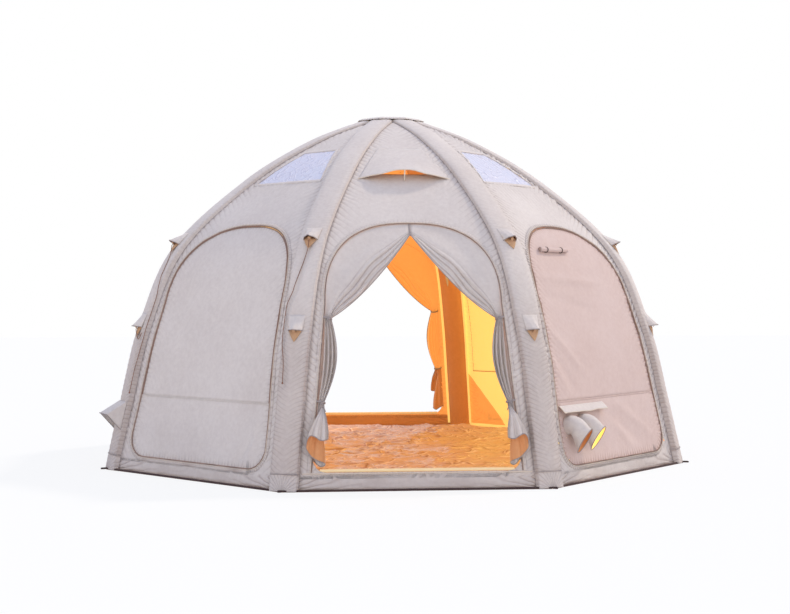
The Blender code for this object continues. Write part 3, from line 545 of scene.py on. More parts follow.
# Folds seen on the faces: start, end, half width and height
face_folds = {
    1: (
        ((-0.56, 1.46), (0.30, 1.40), 0.030, 0.012),
        ((-0.58, 1.33), (0.05, 1.20), 0.028, -0.010),
        ((-0.62, 1.12), (-0.20, 0.70), 0.026, 0.012),
        ((-0.64, 1.00), (-0.38, 0.62), 0.022, -0.010),
        ((-0.64, 0.88), (-0.46, 0.58), 0.020, 0.010),
        ((0.00, 0.56), (0.55, 0.24), 0.030, 0.010),
        ((-0.05, 0.46), (0.42, 0.17), 0.024, -0.008),
        ((0.02, 0.38), (0.26, 0.14), 0.022, 0.008),
    ),
    7: (
        ((0.60, 0.52), (0.52, 0.16), 0.030, 0.010),
        ((0.58, 0.40), (0.44, 0.13), 0.024, -0.008),
    ),
    0: (
        ((-0.72, 0.13), (-0.86, -0.02), 0.016, 0.010),
        ((0.72, 0.13), (0.86, -0.02), 0.016, 0.010),
        ((-0.50, 0.02), (-0.15, 0.09), 0.014, 0.005),
        ((0.05, 0.03), (0.42, 0.10), 0.014, 0.005),
        ((0.62, 1.25), (0.78, 0.60), 0.022, 0.005),
    ),
}


def wall_relief(face, across, run):
    """All the wrinkles of one wall."""
    sizes = bpy.context.scene.tent_sizes
    middle, _ = wall_middle.at(run)
    seed = face * 3.7
    sunny = 1.5 if face in sunny_faces else 1.0
    lift = soft_billow(across, run, seed, billow_height)
    lift += creases(across, run, seed, crease_height * sunny)
    lift += edge_puckers(across, run, wall_edge(middle.x), seed, sizes.wrinkle * sunny)
    skirt = ease((arch_bottom + 0.02 - middle.y) / 0.05)
    slant = across * 1.1 + run * 2.2 + 0.5 * uneven(across * 4, run * 6, seed)
    lift += skirt * skirt_fold_height * ripple(slant / skirt_fold_spacing)
    roof = ease((middle.y - roof_pucker_start) / 0.25) * (1.0 if face in sunny_faces else 0.35)
    waver = 2 * uneven(across * 5, run * 1.2, seed)
    lift += roof * roof_pucker_height * math.sin(2 * math.pi * across / roof_pucker_spacing + waver)
    for start, end, width, height in face_folds.get(face, ()):
        lift += fold_line(across, run, start, end, width, height)
    # The cloth lies flat along the ground, along a window's fold and where a vent prop folds down
    held = ease(run / 0.05)
    if face in door_faces:
        beside = ease((abs(across) - prop_half_width) / 0.1)
        held *= max(beside, ease((roof_bottom - prop_reach - middle.y) / 0.1))
    else:
        held *= ease(abs(middle.y - fold_seam_height) / 0.06)
    return max(lift, -deepest_hollow) * held


# Meshes

# Faces whose middle lies within this of an outline are cut; it is wider than any face
cut_reach = 0.09
# Points closer than this are the same point
same_point = 0.00002


def surface(columns, rows, place, wrap=False, cloth=(1.0, 1.0), gathers=None):
    """A grid shaped by a function of its two shares, with a cloth map in metres.

    Gathers are fine puckers for the cloth's material: how many lie before a place, how strong
    they are there and how dark the cloth is.
    """
    mesh = bmesh.new()
    layer = mesh.loops.layers.uv.new("cloth")
    pucker = mesh.verts.layers.float_vector.new("gather") if gathers else None
    half = Matrix.Translation((0.5, 0.5, 0.0))
    bmesh.ops.create_grid(mesh, x_segments=columns, y_segments=rows, size=0.5, matrix=half)
    for face in mesh.faces:
        for loop in face.loops:
            loop[layer].uv = (loop.vert.co.x * cloth[0], loop.vert.co.y * cloth[1])
    for vert in mesh.verts:
        if gathers:
            vert[pucker] = gathers(vert.co.x, vert.co.y)
        vert.co = place(vert.co.x, vert.co.y)
    if wrap:
        bmesh.ops.remove_doubles(mesh, verts=mesh.verts, dist=same_point)
    return mesh


def flat_cloth(columns, rows, low, high):
    """A flat piece of a wall's cloth: x is across it and y is the length along it."""
    mesh = bmesh.new()
    half = Matrix.Translation((0.0, 0.5, 0.0)) @ Matrix.Diagonal((2.0, 1.0, 1.0, 1.0))
    bmesh.ops.create_grid(mesh, x_segments=columns, y_segments=rows, size=0.5, matrix=half)
    for vert in mesh.verts:
        run = lerp(low, high, vert.co.y)
        middle, _ = wall_middle.at(run)
        vert.co = Vector((vert.co.x * wall_edge(middle.x), run, 0.0))
    return mesh


def cut_outline(mesh, outline, inside):
    """Cuts flat cloth along an outline and keeps the part inside or outside it."""
    cut_along(mesh, outline)
    gone = [face for face in mesh.faces if within(face.calc_center_median(), outline) != inside]
    bmesh.ops.delete(mesh, geom=gone, context="FACES")


def score_outline(mesh, outline, index):
    """Cuts flat cloth along an outline and moves the part inside it on by index finishes."""
    cut_along(mesh, outline)
    for face in mesh.faces:
        if within(face.calc_center_median(), outline):
            face.material_index += index


def cut_along(mesh, outline):
    """Cuts the faces that lie near each edge of an outline."""
    for index, start in enumerate(outline):
        end = outline[(index + 1) % len(outline)]
        along = end - start
        normal = Vector((along.y, -along.x, 0.0)).normalized()
        near = []
        for face in mesh.faces:
            middle = face.calc_center_median()
            share = min(1.0, max(0.0, (middle - start).dot(along) / along.length_squared))
            if (middle - start - along * share).length < cut_reach:
                near.append(face)
        parts = set(near)
        for face in near:
            parts.update(face.edges)
            parts.update(face.verts)
        bmesh.ops.bisect_plane(mesh, geom=list(parts), dist=0.0002, plane_co=start, plane_no=normal)


def within(point, outline):
    """Whether a point lies inside an outline: it does if it is left of an odd count of edges."""
    crossed = False
    for index, start in enumerate(outline):
        end = outline[index - 1]
        if (start.y > point.y) != (end.y > point.y):
            share = (point.y - start.y) / (end.y - start.y)
            if point.x < lerp(start.x, end.x, share):
                crossed = not crossed
    return crossed


def raise_cloth(mesh, relief, turn, gathers=None):
    """Maps flat cloth on to its wall and returns its flat area."""
    layer = mesh.loops.layers.uv.new("cloth")
    puckers = [mesh.verts.layers.float_vector.new(name) for name in ("gather", "gather_arch")]
    area = sum(face.calc_area() for face in mesh.faces)
    for face in mesh.faces:
        for loop in face.loops:
            loop[layer].uv = loop.vert.co.xy
    for vert in mesh.verts:
        across, run = vert.co.x, vert.co.y
        if gathers:
            for pucker, values in zip(puckers, gathers(across, run)):
                vert[pucker] = values
        vert.co = turn @ wall_at(across, run, relief(across, run))
    face_towards(mesh, outside(turn))
    return area


def outside(turn):
    """The direction out of the tent at a face or a beam."""
    return turn.to_3x3() @ Vector((0.0, -1.0, 0.6))


def face_towards(mesh, direction, faces=None):
    """Turns a mesh inside out if it, or the part of it that is given, looks the other way."""
    mesh.normal_update()
    if sum(face.normal.dot(direction) * face.calc_area() for face in faces or mesh.faces) < 0:
        bmesh.ops.reverse_faces(mesh, faces=mesh.faces)


def piece(name, mesh, sides, body="root", replaces=(), thickness=None, offset=-1.0):
    """Makes a finished object from a mesh, riding on a body of the frame.

    Its sides are the names of its finishes: the outer side's and then the inner side's.
    """
    data = bpy.data.meshes.new(name)
    mesh.to_mesh(data)
    mesh.free()
    data.shade_smooth()
    made = bpy.data.objects.new(name, data)
    bpy.context.scene.collection.objects.link(made)
    for side in sides:
        data.materials.append(finishes[side])
    if thickness:
        wall = made.modifiers.new("thickness", "SOLIDIFY")
        wall.thickness = thickness
        wall.offset = offset
        wall.material_offset = min(1, len(sides) - 1)
        wall.use_even_offset = False
    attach(made, body)
    if replaces:
        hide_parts(*replaces)
    return made


def tubes(name, routes, radius, finish, body="root", cyclic=False, sides=2):
    """One object of round tubes along routes of points."""
    curve = bpy.data.curves.new(name, "CURVE")
    curve.dimensions = "3D"
    curve.bevel_depth = radius
    curve.bevel_resolution = sides
    curve.use_fill_caps = not cyclic
    for route in routes:
        spline = curve.splines.new("POLY")
        spline.points.add(len(route) - 1)
        for target, point in zip(spline.points, route):
            target.co = (*point, 1.0)
        spline.use_cyclic_u = cyclic
        spline.use_smooth = True
    curve.materials.append(finishes[finish])
    made = bpy.data.objects.new(name, curve)
    bpy.context.scene.collection.objects.link(made)
    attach(made, body)
    return made


def smooth_path(points, spacing):
    """Points along a smooth curve through the given ones, about one spacing apart."""
    path = []
    knots = [Vector(point) for point in points]
    for index in range(len(knots) - 1):
        four = [knots[min(max(index + shift, 0), len(knots) - 1)] for shift in (-1, 0, 1, 2)]
        steps = max(1, round((knots[index + 1] - knots[index]).length / spacing))
        for step in range(steps):
            along = step / steps
            values = [curve_value(*(knot[axis] for knot in four), along) for axis in range(3)]
            path.append(Vector(values))
    path.append(knots[-1])
    return path


# Materials

finishes = {}
# A wave texture of scale 1 has this many metres between its crests
wave_metres = 0.314


def add(tree, kind, inputs=None, **settings):
    """Adds a node, sets its properties, and sets or links its inputs."""
    made = tree.nodes.new(kind)
    for name, value in settings.items():
        setattr(made, name, value)
    for name, value in (inputs or {}).items():
        if isinstance(value, bpy.types.NodeSocket):
            tree.links.new(value, made.inputs[name])
        else:
            made.inputs[name].default_value = value
    return made


def start_material(name, roughness, **inputs):
    """A new material and its shader, with the shader's inputs set."""
    made = bpy.data.materials.new(name)
    made.use_nodes = True
    tree = made.node_tree
    shader = tree.nodes["Principled BSDF"]
    shader.inputs["Roughness"].default_value = roughness
    for socket, value in inputs.items():
        shader.inputs[socket.replace("_", " ")].default_value = value
    finishes[name] = made
    return tree, shader


def cloth_material(name, colour, dark, roughness, thread, bump, **inputs):
    """Woven cloth with soft random blotches, painted shade in the creases of its gathers, and darker where
    its mesh carries shade.

    The weave is two crossed sets of threads on the piece's own cloth map. The gathers are
    puckers whose count, strength and painted shade the mesh carries.
    """
    tree, shader = start_material(name, roughness, **inputs)
    place = add(tree, "ShaderNodeTexCoord")
    threads = []
    for direction in ("X", "Y"):
        threads.append(add(
            tree, "ShaderNodeTexWave", {"Vector": place.outputs["UV"], "Scale": wave_metres / thread},
            wave_type="BANDS", bands_direction=direction, wave_profile="SIN",
        ))
    weave = sums(tree, "MULTIPLY", threads[0].outputs["Fac"], threads[1].outputs["Fac"])
    # Blotches about half a metre wide and grain about 3 cm wide
    blotch = add(tree, "ShaderNodeTexNoise", {
        "Vector": place.outputs["Object"], "Scale": 2.2, "Detail": 4.0, "Roughness": 0.6})
    grain = add(tree, "ShaderNodeTexNoise", {
        "Vector": place.outputs["Object"], "Scale": 34.0, "Detail": 3.0, "Roughness": 0.65})
    creases = 0.0
    swell = 0.0
    # Painted shade in the narrow troughs of the gathers; the mesh's shade value darkens the colour too
    for attribute in ("gather", "gather_arch"):
        marks = add(tree, "ShaderNodeAttribute", attribute_name=attribute)
        parts = add(tree, "ShaderNodeSeparateXYZ", {0: marks.outputs["Vector"]})
        count, strength, shade = (parts.outputs[axis] for axis in "XYZ")
        wave = sums(tree, "SINE", sums(tree, "MULTIPLY", count, 2 * math.pi))
        narrow = sums(tree, "POWER", sums(tree, "MAXIMUM", sums(tree, "MULTIPLY", wave, -1.0), 0.0), 3.0)
        swell = sums(tree, "MULTIPLY_ADD", wave, strength, swell)
        creases = sums(tree, "MULTIPLY_ADD", narrow, sums(tree, "MULTIPLY", strength, 0.42), creases)
        creases = sums(tree, "ADD", creases, shade)
    mottling = sums(tree, "ADD", blotch.outputs["Fac"], grain.outputs["Fac"])
    faded = add(tree, "ShaderNodeMapRange", {
        "Value": mottling, "From Min": 0.75, "From Max": 1.25, "To Min": 0.16, "To Max": 0.0})
    darkness = add(tree, "ShaderNodeClamp", {"Value": sums(tree, "ADD", creases, faded.outputs["Result"])})
    mix = add(tree, "ShaderNodeMix", {
        "Factor": darkness.outputs["Result"], "A": colour, "B": dark}, data_type="RGBA")
    tree.links.new(mix.outputs["Result"], shader.inputs["Base Color"])
    fine = sums(tree, "MULTIPLY_ADD", grain.outputs["Fac"], 0.9, weave)
    relief = add(tree, "ShaderNodeBump", {"Strength": bump, "Distance": thread * 0.6, "Height": fine})
    folded = add(tree, "ShaderNodeBump", {
        "Strength": 0.9, "Distance": 0.0022, "Height": swell, "Normal": relief.outputs["Normal"]})
    tree.links.new(folded.outputs["Normal"], shader.inputs["Normal"])
    return tree, shader


def folded_lines(tree, shader, size, stretch, light, lit, dark, shaded):
    """Sharp fold lines, size mm apart, each with a painted highlight on one side and painted shade on the
    other.
    """
    place = add(tree, "ShaderNodeTexCoord")
    colour = shader.inputs["Base Color"].links[0].from_socket
    for shift, tint, share in ((0.0, light, lit), (size * 0.00004, dark, shaded)):
        moved = add(tree, "ShaderNodeMapping", {
            "Vector": place.outputs["Object"], "Location": (shift, -shift, 0.0), "Scale": stretch})
        bumps = add(tree, "ShaderNodeTexNoise", {
            "Vector": moved.outputs["Vector"], "Scale": 1000 / size, "Detail": 2.0, "Distortion": 0.9})
        away = sums(tree, "ABSOLUTE", sums(tree, "SUBTRACT", bumps.outputs["Fac"], 0.5))
        line = sums(tree, "MAXIMUM", sums(tree, "MULTIPLY_ADD", away, -34.0, 1.0), 0.0)
        mix = add(tree, "ShaderNodeMix", {
            "Factor": sums(tree, "MULTIPLY", line, share), "A": colour, "B": tint}, data_type="RGBA")
        colour = mix.outputs["Result"]
    tree.links.new(colour, shader.inputs["Base Color"])


def sums(tree, operation, *values):
    """One step of arithmetic in a material, as its result's socket."""
    return add(tree, "ShaderNodeMath", dict(enumerate(values)), operation=operation).outputs[0]


def make_materials():
    """All the tent's finishes, each named for its real material; the sunlit, shaded and backlit ones are
    copies with painted light.
    """
    colours = bpy.context.scene.tent_colours
    # Polycotton canvas, woven and coated: matt, a little mottled, with painted brown shade in its
    # gathers. The weave is drawn at 3 mm a thread, since the real half millimetre is too fine to show.
    cloth_material("coated_polycotton_canvas", tuple(colours.canvas), linear("8A6E5E"), 0.86, 0.003, 0.3,
                   Sheen_Weight=0.1)
    # The same canvas on the faces in the sun: painted sunlight makes it pinker.
    cloth_material("sunlit_polycotton_canvas", linear("D7C0B3"), linear("A8785E"), 0.82, 0.003, 0.3,
                   Sheen_Weight=0.1)
    # Polyester lining, dyed orange; its emission is a painted glow of the daylight that comes through it.
    cloth_material("orange_polyester_lining", tuple(colours.lining), linear("C06A30"), 0.7, 0.003, 0.2,
                   Emission_Color=linear("F4AC58"), Emission_Strength=0.48)
    # The same lining on the sleeves' inner side, where the beams keep the daylight out.
    cloth_material("shaded_polyester_lining", linear("CF9462"), linear("9A5A30"), 0.7, 0.003, 0.2,
                   Emission_Color=linear("D88C4C"), Emission_Strength=0.17)
    # The reverse of the coated canvas: tan, seen inside the hoods.
    cloth_material("canvas_reverse", linear("C9A078"), linear("8A5C3C"), 0.85, 0.003, 0.3)
    # Window panels inside: thinner, so daylight comes through them; their yellow and their glow are painted
    # light.
    cloth_material("backlit_yellow_lining", tuple(colours.window), linear("C89028"), 0.7, 0.003, 0.2,
                   Emission_Color=linear("FBDC80"), Emission_Strength=0.62)
    # Oxford cloth floor, coated: smooth enough for broad highlights on its wrinkles; it has a faint painted
    # glow, and its fold lines carry painted highlights and painted shade.
    tree, shader = cloth_material(
        "coated_oxford_floor", tuple(colours.floor), linear("B07C58"), 0.27, 0.004, 0.2,
        Emission_Color=linear("D8A078"), Emission_Strength=0.06,
    )
    for size, lit, shaded in ((700, 1.00, 0.75), (300, 0.85, 0.60)):
        folded_lines(tree, shader, size, (1.0, 2.4, 1.0), linear("FFF0E6"), lit, linear("945A3C"), shaded)
    # Cotton webbing and bias tape: pale, matt, coarse.
    cloth_material("cotton_bias_tape", linear("EBDDC8"), linear("B59A80"), 0.85, 0.004, 0.5)
    # Lining rolled over the door sills: cream, because it is thin and lit from behind.
    cloth_material("threshold_cloth", linear("F0D8A8"), linear("C89860"), 0.8, 0.003, 0.3,
                   Emission_Color=linear("FFE0A0"), Emission_Strength=0.18)
    # Dark polyester webbing under the walls' lower edge.
    cloth_material("dark_polyester_webbing", linear("4A3530"), linear("2A1C18"), 0.8, 0.004, 0.5)
    # Coil zip, polyester: brown, with a slight gloss from its coils.
    cloth_material("coil_zip", tuple(colours.trim), linear("745444"), 0.55, 0.003, 0.8)
    # Braided polypropylene cord: light brown.
    cloth_material("braided_cord_brown", linear("9A6B50"), linear("64402E"), 0.7, 0.003, 0.9)
    # Rolled seam of the same canvas, coloured darker.
    cloth_material("canvas_seam", linear("ACA098"), linear("7C665A"), 0.88, 0.003, 0.4)
    # Clear flexible film: glossy, with slight waves; its pale bluish colour is a painted reflection of the
    # sky, and its fold lines carry painted highlights and painted shade.
    tree, shader = start_material("clear_pvc_film", 0.12, IOR=1.5, Alpha=0.8)
    film = add(tree, "ShaderNodeRGB")
    film.outputs["Color"].default_value = linear("E4E7F1")
    tree.links.new(film.outputs["Color"], shader.inputs["Base Color"])
    for size, lit, shaded in ((160, 1.00, 0.55), (60, 0.80, 0.45)):
        folded_lines(tree, shader, size, (1.0, 1.0, 1.0), linear("FFFFFF"), lit, linear("A4A8C4"), shaded)
    place = add(tree, "ShaderNodeTexCoord")
    waves = add(tree, "ShaderNodeTexNoise", {
        "Vector": place.outputs["Object"], "Scale": 9.0, "Detail": 3.0, "Distortion": 1.2})
    relief = add(tree, "ShaderNodeBump", {
        "Strength": 0.5, "Distance": 0.012, "Height": waves.outputs["Fac"]})
    tree.links.new(relief.outputs["Normal"], shader.inputs["Normal"])
    # Moulded polyoxymethylene: black, satin.
    start_material("moulded_acetal", 0.42, Base_Color=linear("262220"))
    # Nickel-plated steel wire.
    start_material("nickel_plated_steel", 0.3, Metallic=1.0, Base_Color=linear("B8B5B0"))
    # Thermoplastic polyurethane bladder: milky and smooth.
    start_material("polyurethane_bladder", 0.35, Base_Color=linear("D4D8D2"))


class TENT_OT_materials(bpy.types.Operator):
    """Make the tent's materials"""

    bl_idname = "tent.materials"
    bl_label = "Materials"

    def execute(self, context):
        make_materials()
        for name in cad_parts:
            item = bpy.data.objects.get(name)
            if name.startswith("air_beam") or name == "crown_hub":
                use_finish(item, "polyurethane_bladder")
            elif name.startswith("valve"):
                use_finish(item, "moulded_acetal")
            elif name == "lamp_hook":
                use_finish(item, "nickel_plated_steel")
            elif name.startswith("vent_prop"):
                use_finish(item, "cotton_bias_tape")
        return {"FINISHED"}


def use_finish(item, name):
    """Gives a carried-over node its finish."""
    if not item.material_slots:
        item.data.materials.append(finishes[name])
    for slot in item.material_slots:
        slot.material = finishes[name]


class TENT_OT_stage(bpy.types.Operator):
    """Add the floor, the lights and the camera"""

    bl_idname = "tent.stage"
    bl_label = "Stage"

    def execute(self, context):
        scene = context.scene
        scene.view_settings.view_transform = "Standard"
        self.ground()
        self.sky(scene)
        self.light(context, "sun", strength=1.7, spread=0.10, direction=(0.62, 0.36, 0.80),
                   colour=linear("FFF1DE"))
        self.light(context, "fill", strength=0.28, spread=1.2, direction=(0.2, -1.0, 0.4),
                   colour=linear("FFF4F0"))
        data = bpy.data.cameras.new("camera")
        data.lens = camera_lens
        data.sensor_width = camera_sensor
        data.clip_end = 200.0
        camera = bpy.data.objects.new("camera", data)
        camera.location = camera_place
        camera.rotation_euler = (math.pi / 2 + camera_tilt, 0.0, camera_yaw)
        scene.collection.objects.link(camera)
        scene.camera = camera
        return {"FINISHED"}

    def ground(self):
        """White paper that glows for the camera and is matt for the light on the tent."""
        bpy.ops.mesh.primitive_plane_add(size=paper_size, location=(0.0, 0.0, -paper_drop))
        ground = bpy.context.object
        ground.name = "studio_floor"
        paper = bpy.data.materials.new("studio_paper")
        paper.use_nodes = True
        tree = paper.node_tree
        tree.nodes.clear()
        rays = add(tree, "ShaderNodeLightPath")
        matt = add(tree, "ShaderNodeBsdfDiffuse", {"Color": (paper_grey, paper_grey, paper_grey, 1.0)})
        glow = add(tree, "ShaderNodeEmission", {"Color": white, "Strength": 1.0})
        share = sums(tree, "MULTIPLY", rays.outputs["Is Camera Ray"], glow_share)
        both = add(tree, "ShaderNodeMixShader", {0: share, 1: matt.outputs[0], 2: glow.outputs[0]})
        end = add(tree, "ShaderNodeOutputMaterial")
        tree.links.new(both.outputs[0], end.inputs["Surface"])
        ground.data.materials.append(paper)

    def sky(self, scene):
        """A pale sky for the light, and plain white where the camera sees it."""
        world = bpy.data.worlds.new("studio")
        scene.world = world
        world.use_nodes = True
        tree = world.node_tree
        tree.nodes.clear()
        seen = add(tree, "ShaderNodeLightPath").outputs["Is Camera Ray"]
        place = add(tree, "ShaderNodeTexCoord")
        up = add(tree, "ShaderNodeSeparateXYZ", {0: place.outputs["Generated"]})
        high = add(tree, "ShaderNodeMapRange", {
            "Value": up.outputs["Z"], "From Min": 0.05, "From Max": 0.8})
        tint = add(tree, "ShaderNodeMix", {
            "Factor": high.outputs["Result"], "A": linear("FFF6F0"), "B": linear("C4D5FF")},
            data_type="RGBA")
        colour = add(tree, "ShaderNodeMix", {
            "Factor": seen, "A": tint.outputs["Result"], "B": white}, data_type="RGBA")
        strength = add(tree, "ShaderNodeMapRange", {"Value": seen, "To Min": sky_strength, "To Max": 1.0})
        back = add(tree, "ShaderNodeBackground", {
            "Color": colour.outputs["Result"], "Strength": strength.outputs["Result"]})
        end = add(tree, "ShaderNodeOutputWorld")
        tree.links.new(back.outputs[0], end.inputs["Surface"])

    def light(self, context, name, strength, spread, direction, colour):
        """A far light that shines from a direction."""
        data = bpy.data.lights.new(name, "SUN")
        data.energy = strength
        data.angle = spread
        data.color = colour[:3]
        item = bpy.data.objects.new(name, data)
        item.rotation_euler = Vector(direction).to_track_quat("Z", "Y").to_euler()
        context.scene.collection.objects.link(item)


# Points of the free guy lines, as in the solid model
cord_front_left = (
    (-0.6994, -1.6922, 1.6747),
    (-0.7062, -1.7087, 1.6545),
    (-0.7088, -1.7131, 1.6207),
    (-0.7181, -1.7226, 1.5820),
    (-0.7415, -1.7530, 1.5113),
    (-0.7726, -1.7864, 1.4308),
    (-0.8044, -1.8215, 1.3473),
    (-0.8152, -1.8310, 1.3102),
    (-0.8347, -1.8322, 1.2682),
    (-0.8559, -1.8375, 1.2166),
    (-0.8654, -1.8445, 1.1640),
    (-0.8736, -1.8631, 1.1037),
    (-0.8825, -1.8838, 1.0403),
    (-0.8867, -1.8974, 0.9953),
    (-0.8896, -1.9188, 0.9472),
    (-0.8842, -1.9467, 0.8784),
    (-0.8828, -1.9720, 0.8093),
    (-0.8861, -1.9908, 0.7488),
    (-0.8885, -2.0020, 0.6999),
)
cord_left_front = (
    (-1.6911, -0.7020, 1.6747),
    (-1.7076, -0.7088, 1.6545),
    (-1.7108, -0.7137, 1.6206),
    (-1.7183, -0.7272, 1.5818),
    (-1.7444, -0.7595, 1.5108),
    (-1.7770, -0.7928, 1.4302),
    (-1.7884, -0.8167, 1.3826),
    (-1.7966, -0.8390, 1.3429),
    (-1.8087, -0.8505, 1.2740),
    (-1.8361, -0.8630, 1.1834),
    (-1.8621, -0.8738, 1.1034),
    (-1.8828, -0.8826, 1.0400),
    (-1.9023, -0.8904, 0.9646),
    (-1.9213, -0.8978, 0.8949),
    (-1.9430, -0.9062, 0.8151),
    (-1.9623, -0.9139, 0.7448),
    (-1.9815, -0.9210, 0.6564),
    (-2.0007, -0.9286, 0.5665),
)
cord_left_loop = (
    (-1.9593, -0.8131, 1.0450),
    (-1.9635, -0.8149, 1.0285),
    (-1.9588, -0.8231, 0.9936),
    (-1.9514, -0.8345, 0.9660),
    (-1.9456, -0.8494, 0.9553),
    (-1.9392, -0.8600, 0.9601),
    (-1.9266, -0.8655, 0.9812),
    (-1.9194, -0.8646, 1.0040),
)
cord_diameter = 0.005
# Distance between the points of a cord's smoothed route
cord_step = 0.015
knot_share = 1.15


class TENT_OT_cords(bpy.types.Operator):
    """Lay the free guy lines along their sleeves"""

    bl_idname = "tent.cords"
    bl_label = "Guy lines"

    def execute(self, context):
        routes = {
            "guy_cord_front_left": (cord_front_left, "knot"),
            "guy_cord_left_front": (cord_left_front, "knot"),
            "guy_cord_left_loop": (cord_left_loop, "object"),
        }
        for node, (points, end) in routes.items():
            path = smooth_path(points, cord_step)
            cord = tubes(f"{node}_braid", [path], cord_diameter / 2, "braided_cord_brown",
                         sides=3)
            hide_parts(node)
            length = sum((after - before).length for before, after in zip(path, path[1:]))
            knots = []
            if end == "knot":
                knots = [knot(f"{node}_knot", path[-1], cord_diameter)]
            tuple(path[0])
        return {"FINISHED"}


def knot(name, place, size):
    """A small overhand knot: a lumpy ring of cord drawn tight."""
    mesh = bmesh.new()
    bmesh.ops.create_uvsphere(mesh, u_segments=14, v_segments=10, radius=size * knot_share)
    for vert in mesh.verts:
        swell = 1 + 0.22 * math.sin(5 * math.atan2(vert.co.y, vert.co.x) + vert.co.z / size * 3)
        vert.co = Vector(place) + vert.co * swell
    mesh.loops.layers.uv.new("cloth")
    return piece(name, mesh, ["braided_cord_brown"])


# What is sewn on and round the sleeves
sleeve_girth = 0.5
sleeve_grid = (48, 320)
sleeve_inset = 0.0022
sleeve_pucker_height = 0.0017
sleeve_pucker_spacing = 0.042
sleeve_lump_height = 0.003
sleeve_crumple_height = 0.0015
sleeve_gather_spacing = 0.030
sleeve_gather_lag = 0.055
# A cord presses the cloth this far in, over this distance to each side
groove_reach = 0.035
groove_depth = 0.016
tape_width = 0.028
tape_bottom = 0.03
tape_top = 2.3
tape_depth = 0.018
tape_thickness = 0.0012
binding_radius = 0.003
hood_top_half_width = 0.060
hood_rim_half_width = 0.052
hood_thickness = 0.0022
patch_half_width = 0.052
patch_length = 0.11
patch_overlap = 0.03
patch_lift = 0.004
patch_thickness = 0.0015
tab_half_width = 0.011
tab_height = 0.030
tab_reach = 0.0476
tab_thickness = 0.002


def cord_tree(turn):
    """The guy cords' points, as a beam that stands at the front sees them."""
    points = []
    for cord in (cord_front_left, cord_left_front, cord_left_loop):
        points += smooth_path(cord, cord_step)
    tree = kdtree.KDTree(len(points))
    for index, point in enumerate(points):
        tree.insert(turn.inverted() @ Vector(point), index)
    tree.balance()
    return tree


